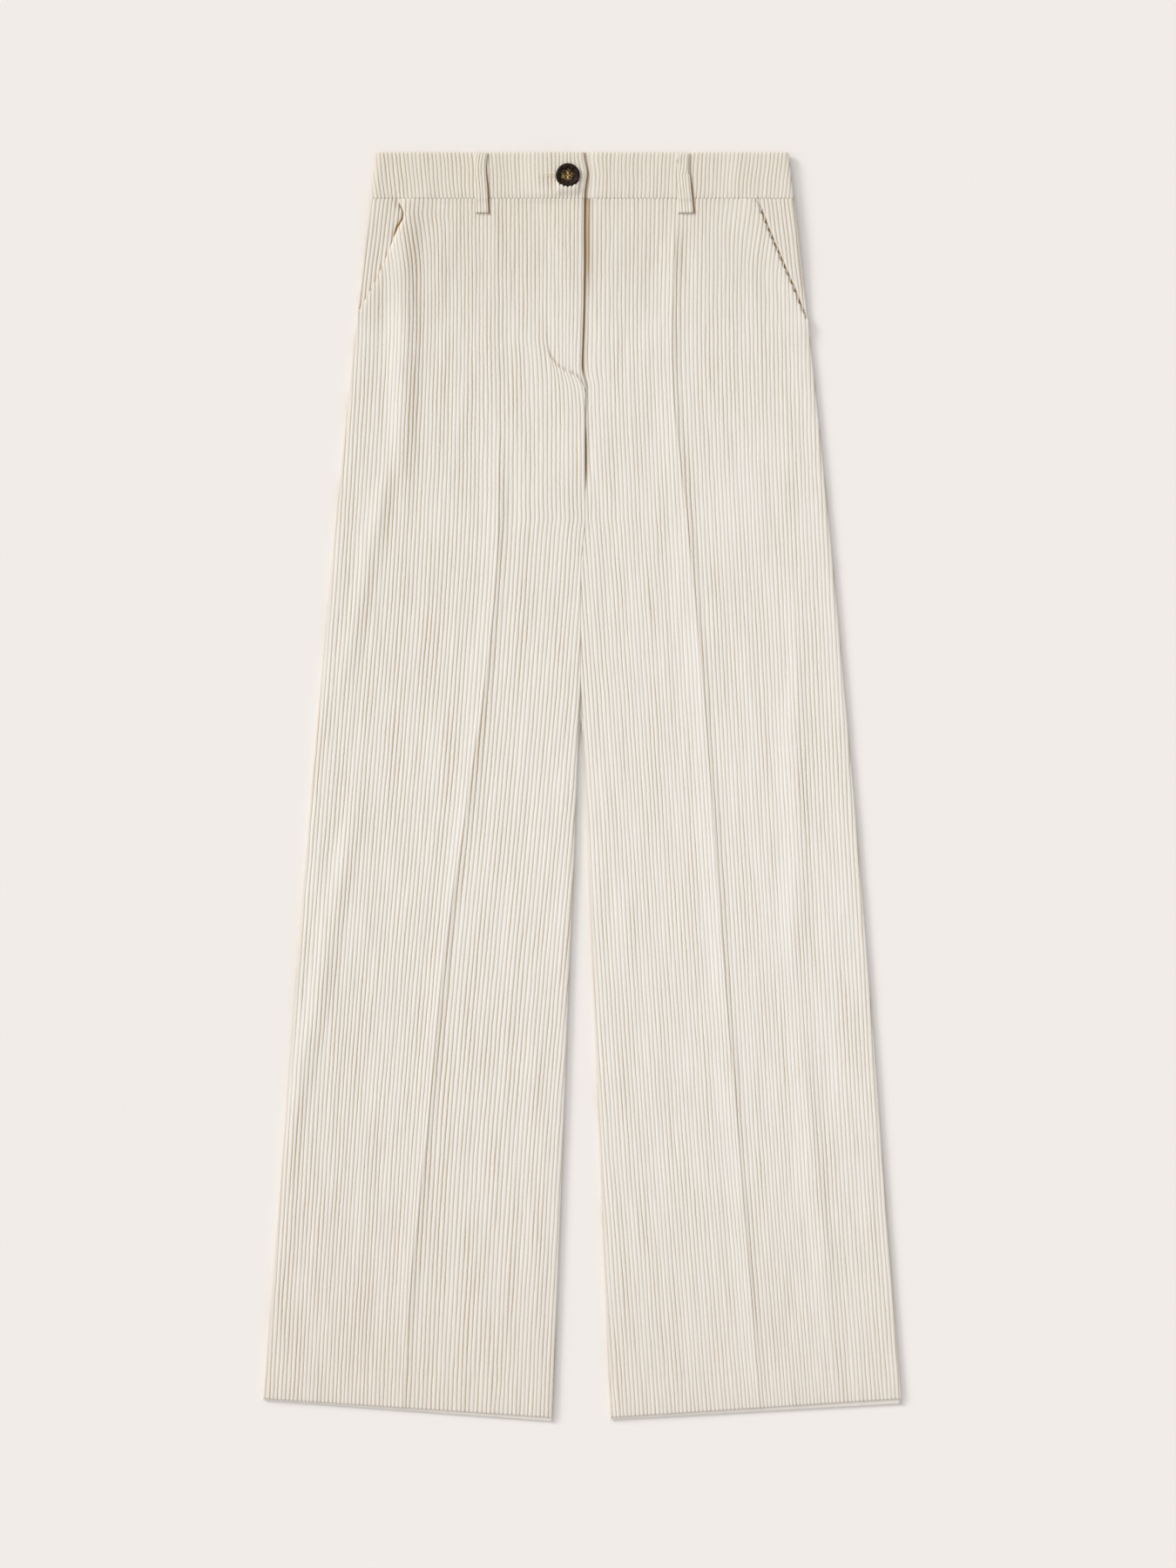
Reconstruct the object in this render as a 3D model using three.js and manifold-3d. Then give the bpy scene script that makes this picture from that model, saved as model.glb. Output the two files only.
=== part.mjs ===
// Wide-leg corduroy trousers with a high waist, laid flat on their back on a surface.
// Millimetres. X runs across the garment, +Y from the hems to the waist, and Z is up from the surface.
// "d" is the depth below the waist edge. "right" and "left" are the wearer's: the front faces up,
// so the wearer's right is at -X. Every cloth piece is a thin closed wall: its outer face has a point
// on each crest and each groove of the wales, and its inner face is plain.
import * as THREE from 'three';
import { mergeVertices } from 'three/addons/utils/BufferGeometryUtils.js';
import Module from 'manifold-3d';

// Driving sizes
const garmentLength = 1100; // waist edge to the lowest corner of the hem
const bandHeight = 40;
const frontRise = 325; // waist edge to the crotch
const centreFrontX = 2.6; // the fly's edge and the centre seam lie a little to the wearer's left
const seamGap = 0.3; // what two sewn pieces keep between them
const walePitch = 3.46; // about 7 wales to the inch
const waleRelief = 0.45; // half the height from groove to crest
const clothWallMean = 1.85; // groove 1.4, crest 2.3
const backCloth = 1.9;
const hemTurn = 34; // depth of the turned-up hem
const hemCloth = 0.9; // the turning's extra thickness
const hemSlant = 16.6; // each hem rises from the inseam to the side seam
const hemSlantStart = 900;
const frontHemShort = 1.4; // the back hem shows this much below the front hem

// Heights above the surface
const loopCloth = 1.6;
const waistLift = loopCloth + seamGap; // the back waist lies on its belt loops
const legInside = 3.3; // inner face of a front panel, away from its edges
const waistInsideRise = 2.3;
const legSeamLevel = 2.75;
const waistSeamRise = 2.35;
const edgeRoll = 6; // width over which cloth turns down to a side seam or inseam
const edgeCloth = 1.05;

// Waistband
const bandBackCloth = 2.8;
const bandInside = 5.7;
const bandWallMean = 2.4;
const bandSeamLevel = 5.2;
const bandUnderlap = { reach: 30, inside: 5.1, wall: 1.8 };
const bandOverlapLift = 1.5;

// Half the garment's width at each depth
const outline = [
  { d: 0, half: 179 },
  { d: 94, half: 190 },
  { d: 215, half: 203.5 },
  { d: 382, half: 220 },
  { d: 624, half: 241.5 },
  { d: 850, half: 259 },
  { d: garmentLength, half: 277.3 },
];

// Where the inseams run, below the crotch
const inseams = [
  { d: frontRise, right: 2.45, left: 2.75 },
  { d: 350, right: -0.9, left: -0.6 },
  { d: 400, right: -1.4, left: -1.1 },
  { d: 465, right: -1.7, left: -0.9 },
  { d: 500, right: -3, left: 0.9 },
  { d: 548, right: -4.9, left: 2.9 },
  { d: 625, right: -7.6, left: 5.4 },
  { d: 700, right: -11, left: 8.7 },
  { d: 850, right: -16.5, left: 14.5 },
  { d: 1000, right: -22.2, left: 20.3 },
  { d: garmentLength, right: -26.2, left: 24.6 },
];

// Three guide wales on each front panel: near the side seam, at mid panel and near the centre
const waleNumbers = { right: [-52, -25, 0], left: [0, 23, 48] };
const guideWales = [
  { d: 40, rightSide: -171.2, rightMiddle: -84.3, rightCentre: 2.6, leftCentre: 5.7, leftMiddle: 86.6, leftSide: 169.7 },
  { d: 155, rightSide: -171.5, rightMiddle: -84.3, rightCentre: 2.6, leftCentre: 4.2, leftMiddle: 84.3, leftSide: 171.6 },
  { d: 250, rightSide: -176.3, rightMiddle: -85, rightCentre: 2.6, leftCentre: 7.9, leftMiddle: 87.3, leftSide: 173.5 },
  { d: 325, rightSide: -180.5, rightMiddle: -86.8, rightCentre: 2.1, leftCentre: 11.5, leftMiddle: 91.1, leftSide: 176.4 },
  { d: 400, rightSide: -185.3, rightMiddle: -90.9, rightCentre: -2.9, leftCentre: 16.5, leftMiddle: 95, leftSide: 179.7 },
  { d: 548, rightSide: -196.9, rightMiddle: -102.4, rightCentre: -14.7, leftCentre: 26.5, leftMiddle: 103.6, leftSide: 186.4 },
  { d: 700, rightSide: -208, rightMiddle: -117, rightCentre: -28.2, leftCentre: 35.2, leftMiddle: 112.8, leftSide: 194.5 },
  { d: 850, rightSide: -218.1, rightMiddle: -129.7, rightCentre: -40.4, leftCentre: 45, leftMiddle: 122.3, leftSide: 202.6 },
  { d: 1000, rightSide: -226.9, rightMiddle: -138.3, rightCentre: -49.5, leftCentre: 55.6, leftMiddle: 133.7, leftSide: 212.1 },
  { d: 1100, rightSide: -231.7, rightMiddle: -142.5, rightCentre: -54, leftCentre: 62.4, leftMiddle: 141.4, leftSide: 218.9 },
];

// The pressed creases
const creaseHeight = 1.5;
const creaseReach = 15;
const creases = [
  { d: 60, right: -74.5, left: 80.5 },
  { d: 200, right: -74, left: 78.5 },
  { d: 330, right: -73, left: 92 },
  { d: 440, right: -82, left: 102.5 },
  { d: 550, right: -98, left: 111.5 },
  { d: 700, right: -120, left: 122 },
  { d: 850, right: -135, left: 135 },
  { d: 1000, right: -150.5, left: 147 },
  { d: garmentLength, right: -155.5, left: 153.5 },
];

// The broad soft ridges of the cloth, each from (x0, d0) to (x1, d1)
const softRidges = [
  { side: 'right', x0: -155, d0: 60, x1: -159, d1: 235, reach: 11, height: 1.5 },
  { side: 'right', x0: -172, d0: 290, x1: -205, d1: 450, reach: 13, height: 1.1 },
  { side: 'right', x0: -198, d0: 570, x1: -252, d1: 850, reach: 14, height: 1.1 },
  { side: 'left', x0: 186, d0: 440, x1: 184, d1: 680, reach: 15, height: 0.9 },
  { side: 'left', x0: 188, d0: 760, x1: 213, d1: 1000, reach: 15, height: 0.9 },
];

// The slanted pockets
const pocketTopX = { right: 152.3, left: 156.1 };
const pocketEnd = { right: 136, left: 151 };
const pocketEdgeLift = 1.1;
const facing = { under: 14, clear: 0.5, wallMean: 1.2, relief: 0.3 };

// The fly
const flyEnd = 190;
const flyLift = 1.1;
const flyUnderlap = { reach: 10.6, clear: 0.5, wall: 1.6 };
const seamBulge = { middle: 262, reach: 48, height: 0.9 };

const loopWidth = 13;
const loopLength = 53;
const frontLoops = { right: -86.5, left: 89.5 };
const backLoops = { right: -100, centre: 0, left: 100 };

const button = { x: -12.5, d: 21.2, radius: 10.5, thickness: 3.4, holeRadius: 0.9, holeSpread: 1.6 };

// Small tools
const clamp = (t) => Math.min(1, Math.max(0, t));
const lerp = (a, b, t) => a + (b - a) * t;
const smooth = (a, b, x) => {
  const t = clamp((x - a) / (b - a));
  return t * t * (3 - 2 * t);
};
const bell = (x, middle, reach) => smooth(reach, 0, Math.abs(x - middle));

// A smooth function of depth through one column of a table
function through(table, column) {
  const slope = (i) => {
    const a = table[Math.max(i - 1, 0)];
    const b = table[Math.min(i + 1, table.length - 1)];
    return (b[column] - a[column]) / (b.d - a.d);
  };
  return (d) => {
    let i = 0;
    while (i < table.length - 2 && d > table[i + 1].d) i += 1;
    const [a, b] = [table[i], table[i + 1]];
    const h = b.d - a.d;
    const t = clamp((d - a.d) / h);
    const [t2, t3] = [t * t, t * t * t];
    return (2 * t3 - 3 * t2 + 1) * a[column] + (t3 - 2 * t2 + t) * h * slope(i)
      + (3 * t2 - 2 * t3) * b[column] + (t3 - t2) * h * slope(i + 1);
  };
}

const halfWidth = through(outline, 'half');
const inseam = { right: through(inseams, 'right'), left: through(inseams, 'left') };
const crease = { right: through(creases, 'right'), left: through(creases, 'left') };
const guides = {
  right: ['rightSide', 'rightMiddle', 'rightCentre'].map((c) => through(guideWales, c)),
  left: ['leftCentre', 'leftMiddle', 'leftSide'].map((c) => through(guideWales, c)),
};
const sign = { right: -1, left: 1 };

// Where wale u of a front panel lies at depth d
function waleX(side, u, d) {
  const at = guides[side].map((guide) => guide(d));
  const n = waleNumbers[side];
  if (u <= n[0]) return at[0] + (u - n[0]) * walePitch;
  if (u >= n[2]) return at[2] + (u - n[2]) * walePitch;
  const k = u < n[1] ? 0 : 1;
  return lerp(at[k], at[k + 1], (u - n[k]) / (n[k + 1] - n[k]));
}

// Heights that depend on depth alone
const waistShare = (d) => 1 - smooth(56, 150, d);
const hemShare = (d) => smooth(garmentLength - hemTurn - 8, garmentLength - hemTurn, d);
const backUnder = (d) => waistLift * waistShare(d);
const backOver = (d) => backUnder(d) + backCloth + hemCloth * hemShare(d);
const seamLevel = (d) => legSeamLevel + waistSeamRise * waistShare(d);

// The centre front or the inseam, as the edge of a panel
const centreEdge = (side, d) => (d < frontRise ? centreFrontX + sign[side] * seamGap / 2 : inseam[side](d));

function pocketLine(side, d) {
  const share = (d - bandHeight) / (pocketEnd[side] - bandHeight);
  return sign[side] * lerp(pocketTopX[side], halfWidth(pocketEnd[side]), share);
}

// How far cloth has turned down towards a seam, from 0 to 1, at a distance from its edge
function roll(distance) {
  const q = clamp(1 - distance / edgeRoll);
  return 1 - Math.sqrt(1 - q * q);
}

function folds(side, x, d) {
  const away = Math.abs(x - crease[side](d));
  let z = creaseHeight * Math.pow(clamp(1 - away / creaseReach), 1.5) * smooth(55, 90, d);
  for (const r of softRidges) {
    if (r.side !== side) continue;
    const along = (d - r.d0) / (r.d1 - r.d0);
    const ends = smooth(-0.25, 0.2, along) * smooth(1.25, 0.8, along);
    z += r.height * ends * bell(x, lerp(r.x0, r.x1, along), r.reach);
  }
  return z;
}

// Height of a front panel's inner face away from its edges
function frontInside(side, x, d) {
  let z = legInside + waistInsideRise * waistShare(d) + folds(side, x, d);
  const fromPocket = Math.abs(pocketLine(side, d)) - Math.abs(x);
  z += pocketEdgeLift * smooth(30, 0, fromPocket) * smooth(pocketEnd[side] + 25, pocketEnd[side], d);
  if (side === 'right') {
    const nearFly = smooth(-45, -8, x);
    z += nearFly * (flyLift * smooth(240, flyEnd + 17, d) + seamBulge.height * bell(d, seamBulge.middle, seamBulge.reach));
  } else {
    z -= smooth(14, 3, x) * seamBulge.height * bell(d, seamBulge.middle, seamBulge.reach);
  }
  return z;
}

// How much of the wearer's left front, at x, is the strip that lies under the fly
const underlapShare = (x, d) => smooth(16, 3, x) * smooth(240, flyEnd + 17, d);

// How far the two long edges of a front panel have turned down, at x
function frontRoll(side, x, d) {
  const inner = smooth(frontRise - 20, frontRise + 23, d);
  const outer = smooth(pocketEnd[side] + 1, pocketEnd[side] + 25, d);
  const fromInner = Math.abs(x - centreEdge(side, d));
  const fromOuter = halfWidth(d) - Math.abs(x);
  return Math.max(inner * roll(fromInner), outer * roll(fromOuter));
}

function frontUnder(side, x, d) {
  let z = frontInside(side, x, d);
  if (side === 'left') z = lerp(z, backOver(d) + flyUnderlap.clear, underlapShare(x, d));
  return lerp(z, seamLevel(d) + seamGap / 2, frontRoll(side, x, d));
}

// relief is 1 on a wale's crest and -1 in the groove beside it
function frontOver(side, x, d, relief) {
  let z = frontInside(side, x, d);
  let wall = clothWallMean + hemCloth * hemShare(d) + relief * waleRelief;
  if (side === 'left') {
    const share = underlapShare(x, d);
    z = lerp(z, backOver(d) + flyUnderlap.clear, share);
    wall = lerp(wall, flyUnderlap.wall, share);
  }
  return lerp(z + wall, seamLevel(d) + seamGap / 2 + edgeCloth, frontRoll(side, x, d));
}

// The place of a point of a leg or panel: the hems slant
function placed(side, x, d) {
  const fromInseam = (x - centreEdge(side, d)) / (sign[side] * halfWidth(d) - centreEdge(side, d));
  const slant = hemSlant * clamp(fromInseam) * clamp((d - hemSlantStart) / (garmentLength - hemSlantStart));
  return [x, garmentLength / 2 - (d - slant)];
}

// Joins two rows of points into triangles, taking the row whose next point comes first
function zip(a, b, emit) {
  let [i, j] = [0, 0];
  while (i < a.length - 1 || j < b.length - 1) {
    const takeB = i === a.length - 1 || (j < b.length - 1 && b[j + 1].u < a[i + 1].u);
    if (takeB) {
      emit('b', i, j);
      j += 1;
    } else {
      emit('a', i, j);
      i += 1;
    }
  }
}

// A closed wall. depths lists its rows from the waist down. At depth d, edges gives its two ends and
// overColumns and underColumns the points of its upper and lower faces between them, as { u, x, relief }
function clothWall({ depths, edges, overColumns, underColumns, over, under, place }) {
  const positions = [];
  const triangles = [];
  const rowOf = (d, columns, height) => {
    const [x0, x1] = edges(d);
    const inside = columns(d, x0, x1);
    const ends = [{ u: inside[0].u - 1, x: x0, relief: 0 }, { u: inside.at(-1).u + 1, x: x1, relief: 0 }];
    return [ends[0], ...inside, ends[1]].map(({ u, x, relief }) => {
      positions.push(...place(x, d), height(x, d, relief));
      return { u, x, n: positions.length / 3 - 1 };
    });
  };
  const overRows = depths.map((d) => rowOf(d, overColumns, over));
  const underRows = depths.map((d) => rowOf(d, underColumns, under));
  for (let k = 0; k + 1 < depths.length; k += 1) {
    const [a, b, c, e] = [overRows[k], overRows[k + 1], underRows[k], underRows[k + 1]];
    zip(a, b, (which, i, j) => triangles.push(a[i].n, b[j].n, which === 'a' ? a[i + 1].n : b[j + 1].n));
    zip(c, e, (which, i, j) => triangles.push(c[i].n, which === 'a' ? c[i + 1].n : e[j + 1].n, e[j].n));
    triangles.push(b[0].n, a[0].n, c[0].n, b[0].n, c[0].n, e[0].n);
    triangles.push(a.at(-1).n, b.at(-1).n, e.at(-1).n, a.at(-1).n, e.at(-1).n, c.at(-1).n);
  }
  const byX = (row) => row.map((p) => ({ ...p, u: p.x }));
  const [topOver, topUnder] = [byX(overRows[0]), byX(underRows[0])];
  zip(topOver, topUnder, (which, i, j) => (which === 'a'
    ? triangles.push(topOver[i].n, topOver[i + 1].n, topUnder[j].n)
    : triangles.push(topOver[i].n, topUnder[j + 1].n, topUnder[j].n)));
  const [endOver, endUnder] = [byX(overRows.at(-1)), byX(underRows.at(-1))];
  zip(endOver, endUnder, (which, i, j) => (which === 'a'
    ? triangles.push(endOver[i + 1].n, endOver[i].n, endUnder[j].n)
    : triangles.push(endOver[i].n, endUnder[j].n, endUnder[j + 1].n)));
  const geometry = new THREE.BufferGeometry();
  geometry.setAttribute('position', new THREE.Float32BufferAttribute(positions, 3));
  geometry.setIndex(triangles);
  return geometry;
}

// Points of a face with wales: one on each crest and one in each groove that lies inside the edges
const edgeClear = 0.7;
function waleColumns(xOfWale, first, last) {
  return (d, x0, x1) => {
    const columns = [];
    for (let half = 2 * first; half <= 2 * last; half += 1) {
      const x = xOfWale(half / 2, d);
      if (x > x0 + edgeClear && x < x1 - edgeClear) {
        columns.push({ u: half / 2, x, relief: half % 2 === 0 ? 1 : -1 });
      }
    }
    return columns.length ? columns : [{ u: 0, x: (x0 + x1) / 2, relief: 0 }];
  };
}

// Points of a plain face: close together where it turns at its edges, even between
function plainColumns(count, nearEdge) {
  const reach = nearEdge.at(-1) ?? 0;
  return (d, x0, x1) => {
    const columns = nearEdge.map((e, k) => ({ u: k, x: x0 + e }));
    for (let k = 1; k < count; k += 1) {
      columns.push({ u: nearEdge.length + k, x: lerp(x0 + reach, x1 - reach, k / count) });
    }
    nearEdge.toReversed().forEach((e, k) => columns.push({ u: nearEdge.length + count + k, x: x1 - e }));
    return columns.map((c) => ({ ...c, relief: 0 }));
  };
}
const turnedEdges = [0.8, 2.4, 6];

// Cloth pieces
function frontPanel(side) {
  const ends = (d) => {
    const outer = d < pocketEnd[side] ? pocketLine(side, d) : sign[side] * halfWidth(d);
    let inner = centreEdge(side, d);
    if (side === 'left') inner -= flyUnderlap.reach * smooth(flyEnd + 17, flyEnd - 5, d);
    return side === 'right' ? [outer, inner] : [inner, outer];
  };
  const lowest = garmentLength - frontHemShort;
  const depths = [bandHeight + seamGap / 2, 60, 95, pocketEnd[side], flyEnd - 5, flyEnd + 17, 235, 270,
    frontRise, 348, 410, 480, 550, 700, 850, lowest - hemTurn - 7, lowest - hemTurn + 1, lowest];
  return clothWall({
    depths,
    edges: ends,
    overColumns: waleColumns((u, d) => waleX(side, u, d), -80, 80),
    underColumns: plainColumns(17, turnedEdges),
    over: (x, d, relief) => frontOver(side, x, d, relief),
    under: (x, d) => frontUnder(side, x, d),
    place: (x, d) => placed(side, x, d),
  });
}

function backPanel(side) {
  const ends = (d) => {
    const both = [sign[side] * halfWidth(d), centreEdge(side, d)];
    return side === 'right' ? both : both.reverse();
  };
  const rolled = (x, d) => {
    const inner = smooth(frontRise - 20, frontRise + 23, d);
    return Math.max(roll(halfWidth(d) - Math.abs(x)), inner * roll(Math.abs(x - centreEdge(side, d))));
  };
  return clothWall({
    depths: [bandHeight + seamGap / 2, 56, 75, 100, 125, 150, 215, frontRise, 348, 410, 480, 550, 700, 850,
      garmentLength - hemTurn - 8, garmentLength - hemTurn, garmentLength],
    edges: ends,
    overColumns: plainColumns(4, turnedEdges),
    underColumns: plainColumns(4, turnedEdges),
    over: (x, d) => lerp(backOver(d), seamLevel(d) - seamGap / 2, rolled(x, d)),
    under: (x, d) => lerp(backUnder(d), seamLevel(d) - seamGap / 2 - edgeCloth, rolled(x, d)),
    place: (x, d) => placed(side, x, d),
  });
}

// The side piece that shows inside a slanted pocket and runs a little way under the front panel
function pocketFacing(side) {
  const rolled = (x, d) => roll(halfWidth(d) - Math.abs(x));
  const inside = (x, d) => lerp(backOver(d) + facing.clear, seamLevel(d) + seamGap / 2, rolled(x, d));
  const end = pocketEnd[side] - 8;
  return clothWall({
    depths: [bandHeight + seamGap / 2, 70, 100, 120, end],
    edges: (d) => {
      const under = facing.under * clamp((pocketEnd[side] - d) / 40);
      const both = [sign[side] * halfWidth(d), pocketLine(side, d) - sign[side] * under];
      return side === 'right' ? both : both.reverse();
    },
    overColumns: waleColumns((u, d) => sign[side] * halfWidth(d) + u * walePitch, -14, 14),
    underColumns: plainColumns(2, [0.8]),
    over: (x, d, relief) => inside(x, d) + lerp(facing.wallMean + relief * facing.relief, edgeCloth, rolled(x, d)),
    under: inside,
    place: (x, d) => [x, garmentLength / 2 - d],
  });
}

// The waistband's wales lean a little towards the centre on their way down
const bandLean = -0.025;
const bandWale = (u, d) => {
  const x = centreFrontX + u * walePitch;
  return x * (1 + bandLean * (d / bandHeight));
};
const bandRows = [0, 1.5, 20, bandHeight - seamGap / 2];
const bandRoll = (x, d) => roll(halfWidth(d) - Math.abs(x));
const bandTopEdge = (d) => 0.9 * clamp(1 - d / 1.5);
const rightBandInside = (x) => bandInside + bandOverlapLift * smooth(-60, -32, x);
const leftBandUnderlap = (x) => smooth(14, 3, x);

function frontBand(side) {
  const inside = (x) => (side === 'right'
    ? rightBandInside(x)
    : lerp(bandInside, bandUnderlap.inside, leftBandUnderlap(x)));
  const wall = (x, relief) => {
    const full = bandWallMean + relief * waleRelief;
    return side === 'right' ? full : lerp(full, bandUnderlap.wall, leftBandUnderlap(x));
  };
  return clothWall({
    depths: bandRows,
    edges: (d) => (side === 'right' ? [-halfWidth(d), centreFrontX] : [-bandUnderlap.reach, halfWidth(d)]),
    overColumns: waleColumns(bandWale, -60, 60),
    underColumns: plainColumns(10, turnedEdges),
    over: (x, d, relief) => lerp(
      inside(x) + wall(x, relief) - bandTopEdge(d), bandSeamLevel + seamGap / 2 + edgeCloth, bandRoll(x, d)),
    under: (x, d) => lerp(inside(x), bandSeamLevel + seamGap / 2, bandRoll(x, d)),
    place: (x, d) => [x, garmentLength / 2 - d],
  });
}

function backBand() {
  return clothWall({
    depths: bandRows,
    edges: (d) => [-halfWidth(d), halfWidth(d)],
    overColumns: plainColumns(6, turnedEdges),
    underColumns: plainColumns(6, turnedEdges),
    over: (x, d) => lerp(waistLift + bandBackCloth, bandSeamLevel - seamGap / 2, bandRoll(x, d)),
    under: (x, d) => lerp(waistLift, bandSeamLevel - seamGap / 2 - edgeCloth, bandRoll(x, d)),
    place: (x, d) => [x, garmentLength / 2 - d],
  });
}

// A front loop: sewn at its two ends, bowed a little between them
function frontLoop(side) {
  const middle = frontLoops[side];
  const bow = (d) => 0.9 * Math.sin(Math.PI * clamp((d - 5) / 38));
  const rest = (x, d) => {
    const onBand = bandInside + bandWallMean + waleRelief;
    const onPanel = frontInside(side, middle, d) + clothWallMean + waleRelief;
    return seamGap + (d < bandHeight + 1 ? Math.max(onBand, onPanel) : onPanel) + bow(d);
  };
  return clothWall({
    depths: [0.8, 5, 14, 24, 34, bandHeight + 0.9, 46, loopLength],
    edges: () => [middle - loopWidth / 2, middle + loopWidth / 2],
    overColumns: waleColumns((u) => middle + u * walePitch, -2, 2),
    underColumns: plainColumns(2, []),
    over: (x, d, relief) => rest(x, d) + loopCloth + relief * 0.25,
    under: rest,
    place: (x, d) => [x, garmentLength / 2 - d],
  });
}

function backLoop(middle) {
  const shape = new THREE.BoxGeometry(loopWidth, loopLength - 1, loopCloth);
  return shape.translate(middle, garmentLength / 2 - (loopLength + 1) / 2, loopCloth / 2);
}

// The button: a turned disc with a rounded rim, a dished face and four holes
async function buttonGeometry() {
  const { radius, thickness, holeRadius, holeSpread } = button;
  const profile = [[0, 0], [radius - 1.6, 0], [radius - 0.5, 0.5], [radius, 1.5], [radius - 0.15, 2.5],
    [radius - 0.9, 3.2], [radius - 1.9, thickness], [radius - 3.2, 3.1], [radius - 4.4, 2.4], [0, 2.3]];
  const disc = new THREE.LatheGeometry(profile.map(([r, z]) => new THREE.Vector2(r, z)), 30).rotateX(Math.PI / 2);
  const wasm = await Module();
  wasm.setup();
  const solid = (geometry) => {
    geometry.deleteAttribute('normal');
    geometry.deleteAttribute('uv');
    const merged = mergeVertices(geometry, 1e-3);
    return new wasm.Manifold(new wasm.Mesh({
      numProp: 3,
      vertProperties: merged.attributes.position.array,
      triVerts: new Uint32Array(merged.index.array),
    }));
  };
  let turned = solid(disc);
  for (const [sx, sy] of [[1, 1], [1, -1], [-1, 1], [-1, -1]]) {
    const drill = new THREE.CylinderGeometry(holeRadius, holeRadius, 3 * thickness, 8).rotateX(Math.PI / 2);
    turned = turned.subtract(solid(drill.translate(sx * holeSpread, sy * holeSpread, thickness / 2)));
  }
  const mesh = turned.getMesh();
  const geometry = new THREE.BufferGeometry();
  geometry.setAttribute('position', new THREE.Float32BufferAttribute(mesh.vertProperties, 3));
  geometry.setIndex(Array.from(mesh.triVerts));
  return geometry;
}

// Materials
const corduroy = () => new THREE.MeshStandardMaterial({ color: 0xebe6da, roughness: 0.95, metalness: 0 });
const horn = () => new THREE.MeshStandardMaterial({ color: 0x2f231b, roughness: 0.3, metalness: 0 });

const trousers = new THREE.Group();
function addPiece(name, geometry, material) {
  geometry.computeVertexNormals();
  const mesh = new THREE.Mesh(geometry, material);
  mesh.name = name;
  trousers.add(mesh);
  return mesh;
}

for (const side of ['right', 'left']) {
  addPiece(`front_${side}`, frontPanel(side), corduroy());
  addPiece(`back_${side}`, backPanel(side), corduroy());
  addPiece(`pocket_facing_${side}`, pocketFacing(side), corduroy());
  addPiece(`waistband_front_${side}`, frontBand(side), corduroy());
  addPiece(`belt_loop_front_${side}`, frontLoop(side), corduroy());
}
addPiece('waistband_back', backBand(), corduroy());
for (const [place, middle] of Object.entries(backLoops)) {
  addPiece(`belt_loop_back_${place}`, backLoop(middle), corduroy());
}
const buttonMesh = addPiece('button', await buttonGeometry(), horn());
const bandCrest = rightBandInside(button.x) + bandWallMean + waleRelief;
buttonMesh.position.set(button.x, garmentLength / 2 - button.d, bandCrest + seamGap);

export default trousers;
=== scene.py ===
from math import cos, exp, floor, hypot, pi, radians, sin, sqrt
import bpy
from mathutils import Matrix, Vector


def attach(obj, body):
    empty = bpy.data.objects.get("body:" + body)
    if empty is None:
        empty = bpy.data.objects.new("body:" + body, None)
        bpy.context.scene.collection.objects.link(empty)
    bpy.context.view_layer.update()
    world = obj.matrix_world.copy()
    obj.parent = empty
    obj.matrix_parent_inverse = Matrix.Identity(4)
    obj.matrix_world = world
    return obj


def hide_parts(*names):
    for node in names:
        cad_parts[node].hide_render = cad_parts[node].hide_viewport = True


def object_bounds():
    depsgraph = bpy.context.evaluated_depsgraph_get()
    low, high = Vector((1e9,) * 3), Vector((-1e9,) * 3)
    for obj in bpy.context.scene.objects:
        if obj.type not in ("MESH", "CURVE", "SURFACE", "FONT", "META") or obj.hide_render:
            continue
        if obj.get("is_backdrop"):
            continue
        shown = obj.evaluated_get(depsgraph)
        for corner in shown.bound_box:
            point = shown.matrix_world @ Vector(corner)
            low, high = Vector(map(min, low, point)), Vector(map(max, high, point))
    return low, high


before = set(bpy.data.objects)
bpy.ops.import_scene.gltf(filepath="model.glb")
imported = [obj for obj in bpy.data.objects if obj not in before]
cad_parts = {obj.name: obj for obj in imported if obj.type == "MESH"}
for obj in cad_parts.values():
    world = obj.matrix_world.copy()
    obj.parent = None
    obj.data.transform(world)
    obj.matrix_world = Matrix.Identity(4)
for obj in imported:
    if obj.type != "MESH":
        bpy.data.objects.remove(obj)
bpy.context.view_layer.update()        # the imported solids; every piece below lies where its solid lies

# Wide-leg corduroy trousers, laid flat on their back, front up.
# Sizes are millimetres: x across the garment, d the depth below the waist edge, z up from the floor.
# right and left are the wearer's, so right is at -x.
from types import SimpleNamespace

import bmesh
import bpy
from mathutils import Matrix, Vector, noise

mm = 0.001
sign = {"right": -1, "left": 1}

cloth = {
    "walePitch": 3.46,      # about 7 wales to the inch
    "groove": 0.5,          # crest to groove
    "wall": 1.85,           # mean thickness of the front cloth
    "backWall": 1.9,
    "wander": 0.36,         # how far a wale strays sideways
    "shadeBySlope": 1.7,     # painted shade: grooves drawn darker on slopes that face right, away from the light, and lighter on slopes that face left, towards it
    "across": (0, 0.2, 0.37, 0.5, 0.63, 0.8),   # points on one wale, as shares of the pitch
    "acrossBack": (0, 0.25, 0.5, 0.75),
}

trousers = {
    "length": 1100, "band": 40, "rise": 325, "centre": 2.6, "gap": 0.3, "touch": 0.003,
    "hemTurn": 34, "hemCloth": 0.6, "hemSlant": 16.6, "slantStart": 900, "frontHemShort": 1.4,
    "loopCloth": 1.6,
    "inside": 3.3, "waistInside": 2.3,      # height under the front panels, and what the waist adds
    "hemInside": -0.4,                      # what the hem adds
    "seamLevel": 2.75, "waistSeam": 2.35,   # height of the side seams, and what the waist adds
    "roll": 6,                              # width over which cloth turns down to a seam
}

# depths at which the legs part, in front and behind, and at which their inner edges begin to roll
parting = {"front": 452, "back": 492, "over": 30, "rollFrom": 425, "rollTo": 478}

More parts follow.
